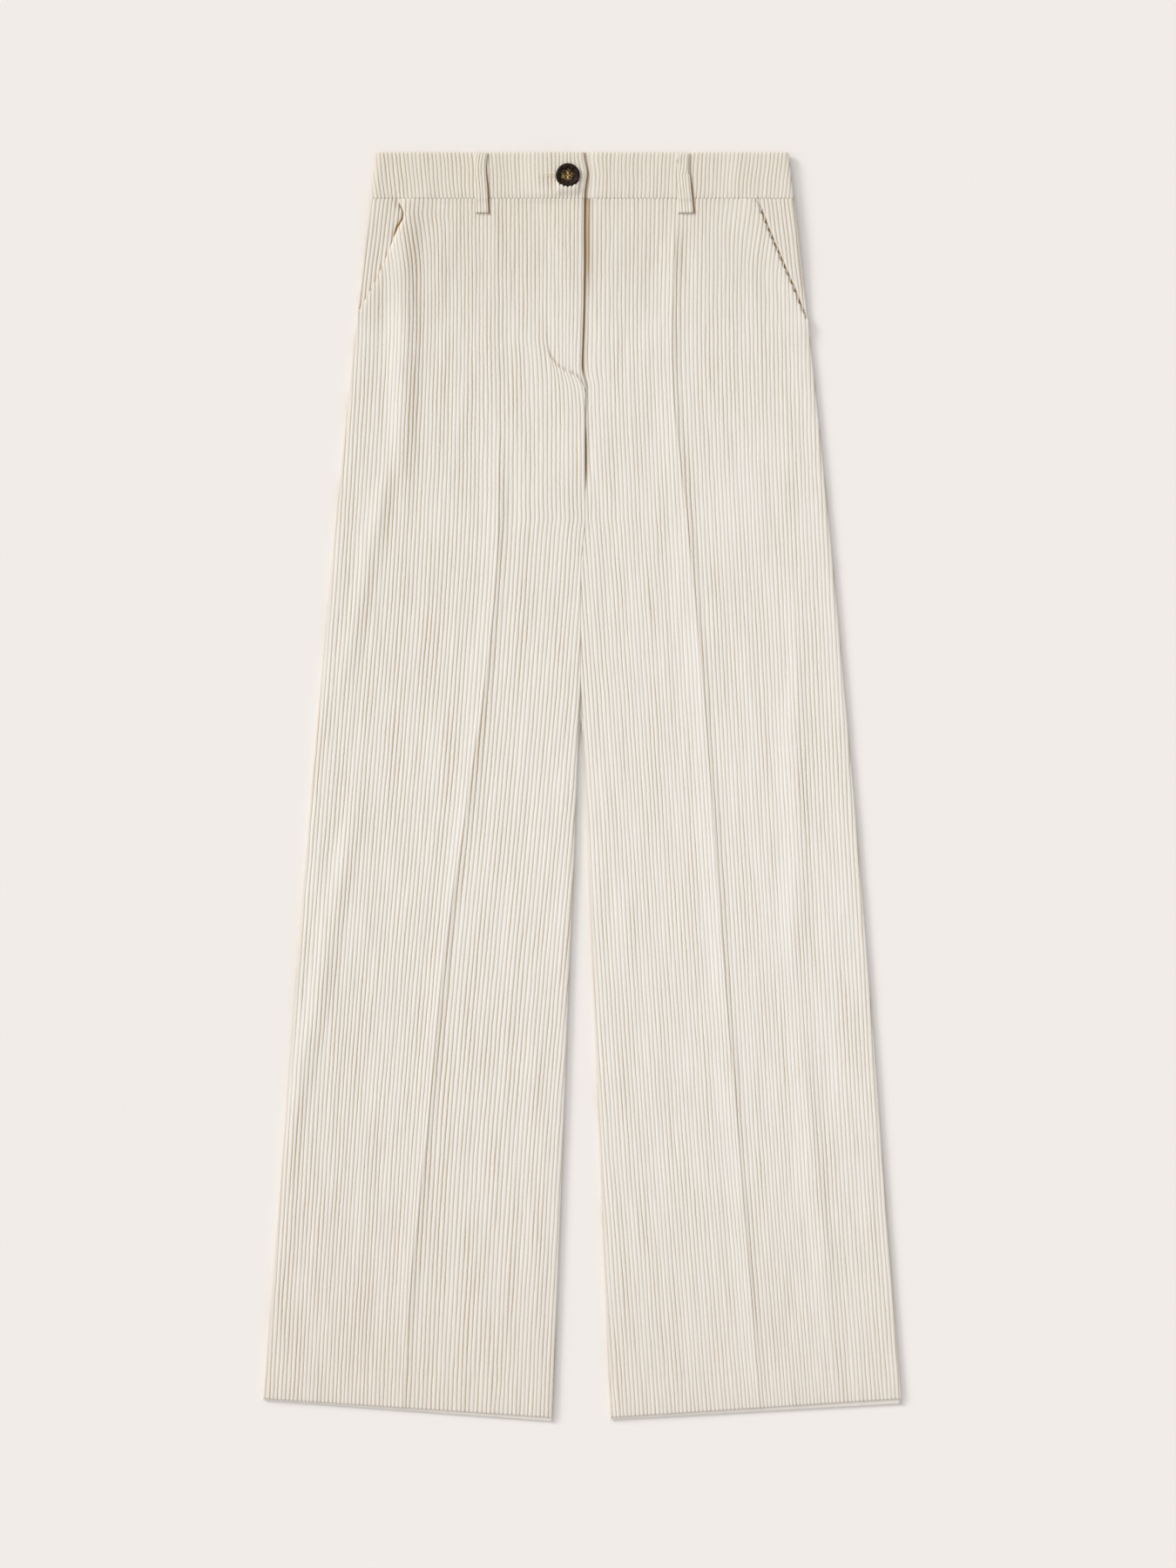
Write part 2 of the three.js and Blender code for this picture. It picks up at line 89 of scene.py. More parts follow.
# the fly's edge, from the top of the waistband down to where it closes: it bows a little
flyEdge = [
    {"d": 0, "x": 1.5}, {"d": 6, "x": 1.9}, {"d": 12, "x": 3.3}, {"d": 19, "x": 4.3}, {"d": 27, "x": 3.2},
    {"d": 34, "x": 2.2}, {"d": 42, "x": 1.8}, {"d": 65, "x": 1.6}, {"d": 95, "x": 1.8}, {"d": 125, "x": 1.5},
    {"d": 150, "x": 0.9}, {"d": 170, "x": 0.1}, {"d": 185, "x": -0.2}, {"d": 193, "x": 0.6},
    {"d": 201, "x": 2.45}, {"d": 210, "x": 2.45},
]

# half the garment's width
outline = [
    {"d": 0, "half": 179}, {"d": 94, "half": 190}, {"d": 215, "half": 203.5}, {"d": 382, "half": 220},
    {"d": 624, "half": 241.5}, {"d": 850, "half": 259}, {"d": 1100, "half": 277.3},
]

# inner edges of the two legs
inseams = [
    {"d": 325, "right": 2.45, "left": 2.75}, {"d": 350, "right": -0.9, "left": -0.6},
    {"d": 400, "right": -1.4, "left": -1.1}, {"d": 465, "right": -1.7, "left": -0.9},
    {"d": 500, "right": -3, "left": 0.9}, {"d": 548, "right": -4.9, "left": 2.9},
    {"d": 625, "right": -7.6, "left": 5.4}, {"d": 700, "right": -11, "left": 8.7},
    {"d": 850, "right": -16.5, "left": 14.5}, {"d": 1000, "right": -22.2, "left": 20.3},
    {"d": 1100, "right": -26.2, "left": 24.6},
]

# three wales of each front: outer, middle and centre on the right; centre, middle and outer on the left
waleCount = {"right": (-52, -25, 0), "left": (0, 23, 48)}
waleSpan = {"right": (-67, 10), "left": (-12, 66)}      # the first and last wale that a panel's rows try
panelCut = {"width": 285, "length": 1062}               # flat size of each leg panel
guideWales = [
    {"d": 40, "rightOuter": -171.2, "rightMiddle": -84.3, "rightCentre": 2.6,
     "leftCentre": 4.9, "leftMiddle": 86.6, "leftOuter": 169.7},
    {"d": 155, "rightOuter": -171.5, "rightMiddle": -84.3, "rightCentre": 2.6,
     "leftCentre": 5, "leftMiddle": 84.3, "leftOuter": 171.6},
    {"d": 250, "rightOuter": -176.3, "rightMiddle": -85, "rightCentre": 2.6,
     "leftCentre": 7.9, "leftMiddle": 87.3, "leftOuter": 173.5},
    {"d": 325, "rightOuter": -180.5, "rightMiddle": -86.8, "rightCentre": 2.1,
     "leftCentre": 11.5, "leftMiddle": 91.1, "leftOuter": 176.4},
    {"d": 400, "rightOuter": -185.3, "rightMiddle": -90.9, "rightCentre": -2.9,
     "leftCentre": 16.5, "leftMiddle": 95, "leftOuter": 179.7},
    {"d": 548, "rightOuter": -196.9, "rightMiddle": -102.4, "rightCentre": -14.7,
     "leftCentre": 26.5, "leftMiddle": 103.6, "leftOuter": 186.4},
    {"d": 700, "rightOuter": -208, "rightMiddle": -117, "rightCentre": -28.2,
     "leftCentre": 35.2, "leftMiddle": 112.8, "leftOuter": 194.5},
    {"d": 850, "rightOuter": -218.1, "rightMiddle": -129.7, "rightCentre": -40.4,
     "leftCentre": 45, "leftMiddle": 122.3, "leftOuter": 202.6},
    {"d": 1000, "rightOuter": -226.9, "rightMiddle": -138.3, "rightCentre": -49.5,
     "leftCentre": 55.6, "leftMiddle": 133.7, "leftOuter": 212.1},
    {"d": 1100, "rightOuter": -231.7, "rightMiddle": -142.5, "rightCentre": -54,
     "leftCentre": 62.4, "leftMiddle": 141.4, "leftOuter": 218.9},
]

# pressed creases
creases = [
    {"d": 60, "right": -74.5, "left": 80.5}, {"d": 200, "right": -74, "left": 78.5},
    {"d": 330, "right": -73, "left": 92}, {"d": 440, "right": -82, "left": 102.5},
    {"d": 550, "right": -98, "left": 111.5}, {"d": 700, "right": -120, "left": 122},
    {"d": 850, "right": -135, "left": 135}, {"d": 1000, "right": -150.5, "left": 147},
    {"d": 1100, "right": -155.5, "left": 153.5},
]

# the pressed crease: a ridge, steeper on its higher x side, that fades at the waist and the hem
creaseRidge = {
    "height": 1.05, "low": 16, "high": 8,       # and how far it reaches to the lower and the higher x
    "hem": {"loss": 0.5, "from": 960, "to": 1060},
    "waist": {"right": {"least": 0.3, "from": 190, "to": 340}, "left": {"least": 0, "from": 55, "to": 90}},
    "parted": 0.15, "hidden": 0.7,              # pile parted along it, with painted shade on that line, and wales lost beyond it
}

# broad soft folds, each a ridge from (x0, d0) to (x1, d1)
softFolds = [
    {"side": "right", "x0": -154, "d0": 60, "x1": -157, "d1": 260, "reach": 18, "height": 2.5},
    {"side": "right", "x0": -172, "d0": 290, "x1": -205, "d1": 450, "reach": 13, "height": 1.1},
    {"side": "right", "x0": -198, "d0": 570, "x1": -252, "d1": 850, "reach": 14, "height": 1.1},
    {"side": "left", "x0": 186, "d0": 440, "x1": 184, "d1": 680, "reach": 15, "height": 0.9},
    {"side": "left", "x0": 188, "d0": 760, "x1": 213, "d1": 1000, "reach": 15, "height": 0.9},
]


def clamp(t):
    return min(1, max(0, t))


def mix(a, b, t):
    return a + (b - a) * t


def smooth(a, b, x):
    t = clamp((x - a) / (b - a))
    return t * t * (3 - 2 * t)


def bump(x, middle, reach):
    return smooth(reach, 0, abs(x - middle))


def dip(distance, radius):
    # 1 on a line, 0 away from it, with no hard corner but on the line
    return clamp(1 - distance / radius) ** 2


def turnDown(distance, radius):
    # 0 away from an edge, 1 on it, round in between
    q = clamp(1 - distance / radius)
    return 1 - sqrt(1 - q * q)


def through(table, column):
    # a smooth curve through one column of a table
    def slope(i):
        a, b = table[max(i - 1, 0)], table[min(i + 1, len(table) - 1)]
        return (b[column] - a[column]) / (b["d"] - a["d"])

    def at(d):
        i = 0
        while i < len(table) - 2 and d > table[i + 1]["d"]:
            i += 1
        a, b = table[i], table[i + 1]
        h = b["d"] - a["d"]
        t = clamp((d - a["d"]) / h)
        return ((2 * t**3 - 3 * t**2 + 1) * a[column] + (t**3 - 2 * t**2 + t) * h * slope(i)
                + (3 * t**2 - 2 * t**3) * b[column] + (t**3 - t**2) * h * slope(i + 1))
    return at


halfWidth = through(outline, "half")
flyEdgeX = through(flyEdge, "x")
inseam = {side: through(inseams, side) for side in sign}
crease = {side: through(creases, side) for side in sign}
guides = {
    "right": [through(guideWales, c) for c in ("rightOuter", "rightMiddle", "rightCentre")],
    "left": [through(guideWales, c) for c in ("leftCentre", "leftMiddle", "leftOuter")],
}


# Materials

def linear(hexColour):
    parts = [int(hexColour[i:i + 2], 16) / 255 for i in (1, 3, 5)]
    return tuple(c / 12.92 if c <= 0.04045 else ((c + 0.055) / 1.055) ** 2.4 for c in parts) + (1,)


def addNode(tree, kind, inputs=None, **settings):
    # one node, with its settings, and its inputs as values or as the sockets that feed them
    node = tree.nodes.new(kind)
    for key, value in settings.items():
        setattr(node, key, value)
    for key, value in (inputs or {}).items():
        if isinstance(value, bpy.types.NodeSocket):
            tree.links.new(value, node.inputs[key])
        else:
            node.inputs[key].default_value = value
    return node


def setRamp(node, stops):
    ramp = node.color_ramp
    while len(ramp.elements) < len(stops):
        ramp.elements.new(1)
    for element, (position, colour) in zip(ramp.elements, stops):
        element.position = position
        element.color = linear(colour)


def startMaterial(name):
    material = bpy.data.materials.new(name)
    material.use_nodes = True
    tree = material.node_tree
    shader = tree.nodes["Principled BSDF"]
    return material, tree, shader


corduroyLook = {
    "crest": "#ECE8E1",       # cut pile, brushed upright
    "shoulder": "#E5DED2",
    "low": "#D7CAB5",
    "groove": "#BCA687",      # bare ground weave between the wales, deepened by painted shade
    "paintedShade": "#93703E",      # painted shade: deep in a seam, under an edge, beside loops and folds
    "waist": "#F4F1ED", "hip": "#FBFAFA", "knee": "#FEFEFF", "shin": "#FCFBFC", "hem": "#F7F4F3",
    "roughness": 0.92,
    "sheen": 0.12,
    "tuft": 0.0009,           # one row of cut tufts along a wale, metres
    "fibre": 0.00025,         # pile fibres clump at about a quarter of a millimetre
}


def makeCorduroy():
    # cotton corduroy, cut and brushed pile: soft cream crests, tan grooves partly deepened by painted shade,
    # a faint sheen at the edges, and painted shade mixed in at seams, edges, loops and folds
    material, tree, shader = startMaterial("Cotton corduroy, wide wale, brushed pile")
    look = corduroyLook
    uv = addNode(tree, "ShaderNodeUVMap", uv_map="cloth").outputs["UV"]
    where = addNode(tree, "ShaderNodeTexCoord").outputs["Object"]
    paintedShade = addNode(tree, "ShaderNodeAttribute", attribute_name="paintedShade").outputs["Fac"]
    slopeShadeAndPressing = addNode(tree, "ShaderNodeAttribute", attribute_name="slopeShadeAndPressing").outputs["Fac"]

    def patches(scale, vector, low, high, detail=3):
        # a soft noise between two factors
        spots = addNode(tree, "ShaderNodeTexNoise",
                        {"Vector": vector, "Scale": scale, "Detail": detail, "Roughness": 0.6})
        return addNode(tree, "ShaderNodeMapRange",
                       {"Value": spots.outputs["Fac"], "From Min": 0.3, "From Max": 0.7, "To Min": low,
                        "To Max": high}).outputs["Result"]

    def calc(operation, a, b):
        return addNode(tree, "ShaderNodeMath", {0: a, 1: b}, operation=operation).outputs[0]

    def blend(kind, amount, a, b):
        # a Mix node has one socket of each name for each kind of data: 6 and 7 are its colours
        return addNode(tree, "ShaderNodeMix", {0: amount, 6: a, 7: b}, data_type="RGBA",
                       blend_type=kind).outputs[2]

    # distance from the wale's crest, 0 to 1, from the cloth's own map: x across the wales, y along them
    across = addNode(tree, "ShaderNodeSeparateXYZ", {"Vector": uv}).outputs["X"]
    across = calc("ADD", across, patches(1 / 0.005, uv, -0.0002, 0.0002))
    fromCrest = calc("PINGPONG", calc("DIVIDE", across, cloth["walePitch"] * mm), 0.5)
    # some grooves lie more open than others, in long streaks
    along = addNode(tree, "ShaderNodeMapping", {"Vector": uv, "Scale": (1, 0.1, 1)}).outputs["Vector"]
    place = addNode(tree, "ShaderNodeSeparateXYZ", {"Vector": where})
    sideways = addNode(tree, "ShaderNodeMapRange",
                       {"Value": place.outputs["X"], "From Min": -0.12, "From Max": 0.12, "To Min": 0.08,
                        "To Max": -0.08}).outputs["Result"]
    # how far the dark groove colour spreads: random streaks, painted shade from the slope, less where
    # pressing flattens the pile, and a slow change across the garment
    grooveSpreadAndShade = calc("ADD", calc("ADD", patches(1 / 0.012, along, 1.62, 2.18), slopeShadeAndPressing), sideways)
    # crest to groove: the groove's tan is the bare ground weave, deepened by painted shade in the hollow
    pile = addNode(tree, "ShaderNodeValToRGB", {"Fac": calc("MULTIPLY", fromCrest, grooveSpreadAndShade)})
    setRamp(pile, [(0, look["crest"]), (0.45, look["crest"]), (0.66, look["shoulder"]), (0.86, look["low"]),
                   (1, look["groove"])])

    # fibre flecks, streaks along single wales, and the cloth's slow change of tone from waist to hem
    fleck = patches(1 / look["fibre"] / 4, uv, 0.94, 1.03, 4)
    tone = calc("MULTIPLY", fleck, patches(1 / 0.007, along, 0.955, 1.025))
    colour = blend("MULTIPLY", 1, pile.outputs["Color"], tone)
    height = addNode(tree, "ShaderNodeMapRange",
                     {"Value": place.outputs["Y"], "From Min": -0.55, "From Max": 0.55}).outputs["Result"]
    wash = addNode(tree, "ShaderNodeValToRGB", {"Fac": height})
    setRamp(wash, [(0, look["hem"]), (0.2, look["shin"]), (0.45, look["knee"]), (0.85, look["hip"]),
                   (1, look["waist"])])
    colour = blend("MULTIPLY", 1, colour, wash.outputs["Color"])
    # painted shade: the colour is drawn towards dark brown where seams, edges, loops and folds would shade
    # the cloth
    colour = blend("MIX", paintedShade, colour, linear(look["paintedShade"]))
    tree.links.new(colour, shader.inputs["Base Color"])

    tufts = addNode(tree, "ShaderNodeMapping", {"Vector": uv, "Scale": (1, 0.45, 1)}).outputs["Vector"]
    grain = addNode(tree, "ShaderNodeTexNoise",
                    {"Vector": tufts, "Scale": 1 / look["tuft"], "Detail": 4, "Roughness": 0.65})
    raised = addNode(tree, "ShaderNodeBump",
                     {"Height": grain.outputs["Fac"], "Strength": 0.32, "Distance": 0.0004})
    tree.links.new(raised.outputs["Normal"], shader.inputs["Normal"])
    shader.inputs["Roughness"].default_value = look["roughness"]
    shader.inputs["Specular IOR Level"].default_value = 0.25
    shader.inputs["Sheen Weight"].default_value = look["sheen"]
    shader.inputs["Sheen Roughness"].default_value = 0.45
    shader.inputs["Sheen Tint"].default_value = linear("#FFF8EC")
    return material


def makeLining():
    # the wrong side of the corduroy: a plain cotton twill with no pile
    material, tree, shader = startMaterial("Cotton twill ground, wrong side")
    uv = addNode(tree, "ShaderNodeUVMap", uv_map="cloth")
    turned = addNode(tree, "ShaderNodeMapping", {"Vector": uv.outputs["UV"], "Rotation": (0, 0, radians(45))})
    rib = addNode(tree, "ShaderNodeTexWave",
                  {"Vector": turned.outputs["Vector"], "Scale": 1 / 0.0007 / (2 * pi), "Distortion": 0.6,
                   "Detail": 2, "Detail Scale": 3})
    colour = addNode(tree, "ShaderNodeValToRGB", {"Fac": rib.outputs["Fac"]})
    setRamp(colour, [(0, "#CFC0A4"), (1, "#E2D8C4")])
    raised = addNode(tree, "ShaderNodeBump",
                     {"Height": rib.outputs["Fac"], "Strength": 0.5, "Distance": 0.0001})
    tree.links.new(colour.outputs["Color"], shader.inputs["Base Color"])
    tree.links.new(raised.outputs["Normal"], shader.inputs["Normal"])
    shader.inputs["Roughness"].default_value = 0.9
    shader.inputs["Specular IOR Level"].default_value = 0.25
    return material


def makeThread():
    # spun cotton-covered sewing thread, a little glossier than the cloth
    material, tree, shader = startMaterial("Spun sewing thread, cream")
    where = addNode(tree, "ShaderNodeTexCoord")
    ply = addNode(tree, "ShaderNodeTexNoise",
                  {"Vector": where.outputs["Object"], "Scale": 1 / 0.0006, "Detail": 2})
    colour = addNode(tree, "ShaderNodeValToRGB", {"Fac": ply.outputs["Fac"]})
    setRamp(colour, [(0.3, "#D8C8A6"), (0.7, "#EFE6D0")])
    tree.links.new(colour.outputs["Color"], shader.inputs["Base Color"])
    shader.inputs["Roughness"].default_value = 0.6
    shader.inputs["Specular IOR Level"].default_value = 0.4
    return material


def makeHorn():
    # cast polyester button, swirled like horn and tumble-polished: dark rim, warmer gold towards the centre
    material, tree, shader = startMaterial("Cast polyester, horn swirl, polished")
    where = addNode(tree, "ShaderNodeTexCoord")
    centred = addNode(tree, "ShaderNodeMapping",
                      {"Vector": where.outputs["Object"],
                       "Location": (-button["x"] * mm, -(trousers["length"] / 2 - button["d"]) * mm, 0)})
    swirl = addNode(tree, "ShaderNodeTexNoise",
                    {"Vector": centred.outputs["Vector"], "Scale": 1 / 0.006, "Detail": 5, "Roughness": 0.6,
                     "Distortion": 1.8})
    colour = addNode(tree, "ShaderNodeValToRGB", {"Fac": swirl.outputs["Fac"]})
    setRamp(colour, [(0.38, "#080403"), (0.52, "#1A0F08"), (0.66, "#4A2E17")])
    gold = addNode(tree, "ShaderNodeValToRGB", {"Fac": swirl.outputs["Fac"]})
    setRamp(gold, [(0.36, "#4A3016"), (0.5, "#8A6B39"), (0.62, "#BFA66C")])
    split = addNode(tree, "ShaderNodeSeparateXYZ", {"Vector": centred.outputs["Vector"]})
    flat = addNode(tree, "ShaderNodeCombineXYZ", {"X": split.outputs["X"], "Y": split.outputs["Y"]})
    radius = addNode(tree, "ShaderNodeVectorMath", {0: flat.outputs["Vector"]}, operation="LENGTH")
    uneven = addNode(tree, "ShaderNodeMath", {0: swirl.outputs["Fac"], 1: -0.008, 2: radius.outputs["Value"]},
                     operation="MULTIPLY_ADD")
    warmTowardsCentre = addNode(tree, "ShaderNodeMapRange",
                   {"Value": uneven.outputs[0], "From Min": 0.0015, "From Max": -0.0022})
    warm = addNode(tree, "ShaderNodeMix", {0: warmTowardsCentre.outputs["Result"], 6: colour.outputs["Color"],
                                           7: gold.outputs["Color"]}, data_type="RGBA")
    tree.links.new(warm.outputs[2], shader.inputs["Base Color"])
    shader.inputs["Roughness"].default_value = 0.34
    shader.inputs["IOR"].default_value = 1.5
    shader.inputs["Specular IOR Level"].default_value = 0.14
    return material


def makePaper():
    # a seamless paper sweep, matt
    material, tree, shader = startMaterial("Seamless paper, matt, warm white")
    where = addNode(tree, "ShaderNodeTexCoord")
    grain = addNode(tree, "ShaderNodeTexNoise",
                    {"Vector": where.outputs["Object"], "Scale": 900, "Detail": 3})
    colour = addNode(tree, "ShaderNodeValToRGB", {"Fac": grain.outputs["Fac"]})
    setRamp(colour, [(0, stage["paperLow"]), (1, stage["paper"])])
    tree.links.new(colour.outputs["Color"], shader.inputs["Base Color"])
    shader.inputs["Roughness"].default_value = 1
    shader.inputs["Specular IOR Level"].default_value = 0
    return material


# Heights that the pieces share

def waistShare(d):
    return 1 - smooth(56, 150, d)


def hemShare(d):
    return smooth(trousers["length"] - trousers["hemTurn"] - 8, trousers["length"] - trousers["hemTurn"], d)


waistLift = trousers["loopCloth"] + trousers["gap"]      # the back waist lies on its belt loops


def backOver(d):
    return waistLift * waistShare(d) + cloth["backWall"] + trousers["hemCloth"] * hemShare(d)


def seamLevel(d):
    return trousers["seamLevel"] + trousers["waistSeam"] * waistShare(d)


def centreEdge(side, d, parts):
    # the two sides touch down to where the legs part
    shut = trousers["centre"] if d < trousers["rise"] else (inseam["right"](d) + inseam["left"](d)) / 2
    parted = smooth(parts, parts + parting["over"], d)
    return mix(shut + sign[side] * trousers["touch"], inseam[side](d), parted)


def sideTurn(row, x):
    # how far cloth has turned down to the side seam
    return turnDown(row.half - abs(x), trousers["roll"])


def centreTurn(row, x):
    # the same at the inner edge of a leg
    return row.innerRoll * turnDown(abs(x - row.centre), trousers["roll"])


# the pockets' mouths: distance from the middle; the right one's top is folded out, so it stands open
pocketEdges = [
    {"d": 40, "right": 159.5, "left": 152.2}, {"d": 46, "right": 158.2, "left": 155},
    {"d": 52, "right": 155.2, "left": 157.3}, {"d": 57, "right": 155.6, "left": 159.2},
    {"d": 66, "right": 160.4, "left": 162.7}, {"d": 79, "right": 165.6, "left": 168.1},
    {"d": 102, "right": 175.6, "left": 178.3}, {"d": 119, "right": 184, "left": 185.8},
    {"d": 136, "right": 194, "left": 192.6}, {"d": 146, "right": 200, "left": 198.4},
    {"d": 156, "right": 206, "left": 205},
]
pocket = {
    "end": {"right": 136, "left": 145}, "lift": 1.1, "fade": 25, "edge": 4,
    "scallop": {"right": 0.4, "left": 2.3},     # how far the grooves draw back from the mouth
}
pocketEdge = {side: through(pocketEdges, side) for side in sign}


def pocketLine(side, d):
    return sign[side] * min(pocketEdge[side](d), halfWidth(d))


def placed(row, x, push=0):
    # the hems rise from the inseam to the side seam
    t = trousers
    across = (x - row.centre) / (row.s * row.half - row.centre)
    slant = t["hemSlant"] * clamp(across) * clamp((row.d - t["slantStart"]) / (t["length"] - t["slantStart"]))
    return x, t["length"] / 2 - (row.d + push - slant)


def straightPlace(row, x, push=0):
    return x, trousers["length"] / 2 - row.d - push


def pileAt(u):
    # 1 on a wale's broad crest, -1 in the narrow groove beside it
    return 1 - 2 * (2 * abs(u - floor(u + 0.5))) ** 3


def strayAt(u, d, seed):
    slow = noise.noise(Vector((u * 0.13, d * 0.011, seed)))
    quick = noise.noise(Vector((u * 0.9, d * 0.035, seed + 9)))
    return cloth["wander"] * (1.6 * slow + 1.5 * quick)


def besideFly(x, d):
    # wales near the fly bow with its edge
    if d > fly["open"]:
        return 0
    return (flyEdgeX(d) - trousers["centre"]) * smooth(26, 0, abs(x - trousers["centre"]))


def ridgeHeight(side, d):
    atWaist, atHem = creaseRidge["waist"][side], creaseRidge["hem"]
    height = creaseRidge["height"] - atHem["loss"] * smooth(atHem["from"], atHem["to"], d)
    return height * mix(atWaist["least"], 1, smooth(atWaist["from"], atWaist["to"], d))


def legRow(side, d, parts=parting["front"]):
    # what depends on depth alone
    s = sign[side]
    centre = centreEdge(side, d, parts)
    hasPocket = d < pocket["end"][side]
    drawn = pocket["scallop"][side] if hasPocket else 0
    folds = []
    for fold in softFolds:
        if fold["side"] == side:
            along = (d - fold["d0"]) / (fold["d1"] - fold["d0"])
            ends = smooth(-0.25, 0.2, along) * smooth(1.25, 0.8, along)
            if ends > 0:
                folds.append((mix(fold["x0"], fold["x1"], along), fold["reach"], fold["height"] * ends))
    return SimpleNamespace(
        d=d, side=side, s=s, half=halfWidth(d), centre=centre, pressed=0,
        inner=flyEdgeX(d) if side == "right" and d < fly["open"] else centreEdge(side, d, parting["front"]),
        guides=[guide(d) for guide in guides[side]],
        crease=crease[side](d), creaseHeight=ridgeHeight(side, d),
        folds=folds, level=seamLevel(d), backOver=backOver(d),
        inside=trousers["inside"] + trousers["waistInside"] * waistShare(d)
        + trousers["hemInside"] * hemShare(d),
        wall=cloth["wall"] + trousers["hemCloth"] * hemShare(d),
        pocket=pocketLine(side, d) * s, flyX=flyEdgeX(d),
        pocketLift=pocket["lift"] * smooth(pocket["end"][side] + pocket["fade"], pocket["end"][side], d),
        hasPocket=hasPocket, drawn=drawn, scallop=(drawn, 0) if side == "right" else (0, drawn),
        innerRoll=smooth(parting["rollFrom"], parting["rollTo"], d),
        outerRoll=smooth(pocket["end"][side] + 1, pocket["end"][side] + pocket["fade"], d),
        underlap=smooth(fly["flat"], fly["full"], d),
        bulge=fly["bulge"]["height"] * bump(d, fly["bulge"]["middle"], fly["bulge"]["reach"]),
    )


def waleX(row, u):
    a, b, c = row.guides
    n0, n1, n2 = waleCount[row.side]
    pitch = cloth["walePitch"]
    if u <= n0:
        x = a + (u - n0) * pitch
    elif u >= n2:
        x = c + (u - n2) * pitch
    elif u < n1:
        x = mix(a, b, (u - n0) / (n1 - n0))
    else:
        x = mix(b, c, (u - n1) / (n2 - n1))
    if row.side == "right":
        x += flyBend(x, u, row.d)
    # the pocket's top pulls the wales beside it out towards the side
    fromPocket = row.pocket - abs(x)
    if row.d < 120 and fromPocket < 48:
        x += row.s * 7 * smooth(48, 0, fromPocket) * smooth(118, 42, row.d)
    x += besideFly(x, row.d) + crotchKink(row, x) + hemKink(u, row.d)
    x -= creaseRidge["hidden"] * row.creaseHeight * bump(x, row.crease + 3.5, 9)
    return x + strayAt(u, row.d, 3 if row.side == "right" else 40)


# where the panels meet the waistband, and how far each wall's two faces end from the level of a side seam
seam = {"gap": 0.01, "pinch": 0.2, "round": 1.6, "scallop": 0.16, "inner": 0.15, "outer": 1.2}

loop = {
    "width": 13, "length": 53, "wall": 1.35, "bow": 0.15, "pitch": 2.7,
    "front": {"right": -86.5, "left": 89.5},
    "back": {"right": -100, "centre": 0, "left": 100},
}

# the front loops hang a little out of true: their two edges, in the viewer's order
loopEdges = [
    {"d": 0, "rightLow": -93.5, "rightHigh": -81.6, "leftLow": 81.6, "leftHigh": 94.3},
    {"d": 9, "rightLow": -93.8, "rightHigh": -83.3, "leftLow": 81.8, "leftHigh": 93.5},
    {"d": 17, "rightLow": -93.7, "rightHigh": -83.5, "leftLow": 81.9, "leftHigh": 93.4},
    {"d": 30, "rightLow": -93.4, "rightHigh": -82.4, "leftLow": 82.3, "leftHigh": 94.3},
    {"d": 41, "rightLow": -93.1, "rightHigh": -81.9, "leftLow": 82.7, "leftHigh": 95.5},
    {"d": 53, "rightLow": -93, "rightHigh": -81.3, "leftLow": 83.2, "leftHigh": 96.4},
]
loopLow = {side: through(loopEdges, side + "Low") for side in sign}
loopHigh = {side: through(loopEdges, side + "High") for side in sign}


# the fly: a stitched line down the right front that curves in to the centre, and pulls the wales below it
fly = {
    "end": 190, "open": 205, "under": 0.75, "lapWidth": 10.6, "lapWall": 1.6,
    "lift": 1.1, "full": 207, "flat": 240,      # the lap raises the right front, and fades out between
    "bulge": {"height": 0.9, "middle": 262, "reach": 48},
    "slit": {"from": 205, "open": 255, "closing": 272, "to": 298},      # where the seam below it gapes
    "line": [(-30.6, 40), (-30.8, 153), (-29.9, 168.6), (-27.8, 176), (-21.5, 184.5), (-14, 189),
             (-7.9, 191.5), (-1.9, 195.5), (1.1, 202)],
    "sink": 0.4,
    # how far the wales lean in below the curve, and where the lean starts and fades beside it
    "pull": {"by": 5.2, "from": 150, "fade": 13, "outerX": -30, "outerFrom": 163, "outerFade": 0.9},
    "stitch": 2.3, "stitchGap": 0.7, "threadWidth": 0.42,
}


def flyBend(x, u, d):
    pull = fly["pull"]
    if d < pull["from"]:
        return 0
    start, fade = fly["line"][-1][1], pull["fade"]
    if x < pull["outerX"]:
        start = pull["outerFrom"]
        fade += pull["outerFade"] * (pull["outerX"] - x)
    else:
        for (x0, d0), (x1, d1) in zip(fly["line"], fly["line"][1:]):
            if x0 < x1 and x0 <= x <= x1:
                start = mix(d0, d1, (x - x0) / (x1 - x0))
    if d < start:
        return 0
    return pull["by"] * clamp((u + 45) / 40) ** 1.5 * (1 - exp(-(d - start) / fade))


def crotchKink(row, x):
    # the legs' wales turn sharply where the seat ends
    size = 1.8 if row.side == "right" else -0.9
    return size * exp(-abs(row.d - 317) / 11) * smooth(85, 15, abs(x))


hem = {
    "kink": 0.55, "kinkReach": 8, "dimple": 0.4, "drop": 0.5, "turn": 1.2,
    "peek": {"right": (2.2, 0.3), "left": (0.8, 3.4)},      # how far the back shows, inner and outer end
}


def hemKink(u, d):
    # wales step sideways a little where the hem is caught down
    away = (d - (trousers["length"] - trousers["hemTurn"] + 1)) / hem["kinkReach"]
    if abs(away) > 3:
        return 0
    return hem["kink"] * noise.noise(Vector((u * 0.45, 3.1, 0))) * exp(-away * away)


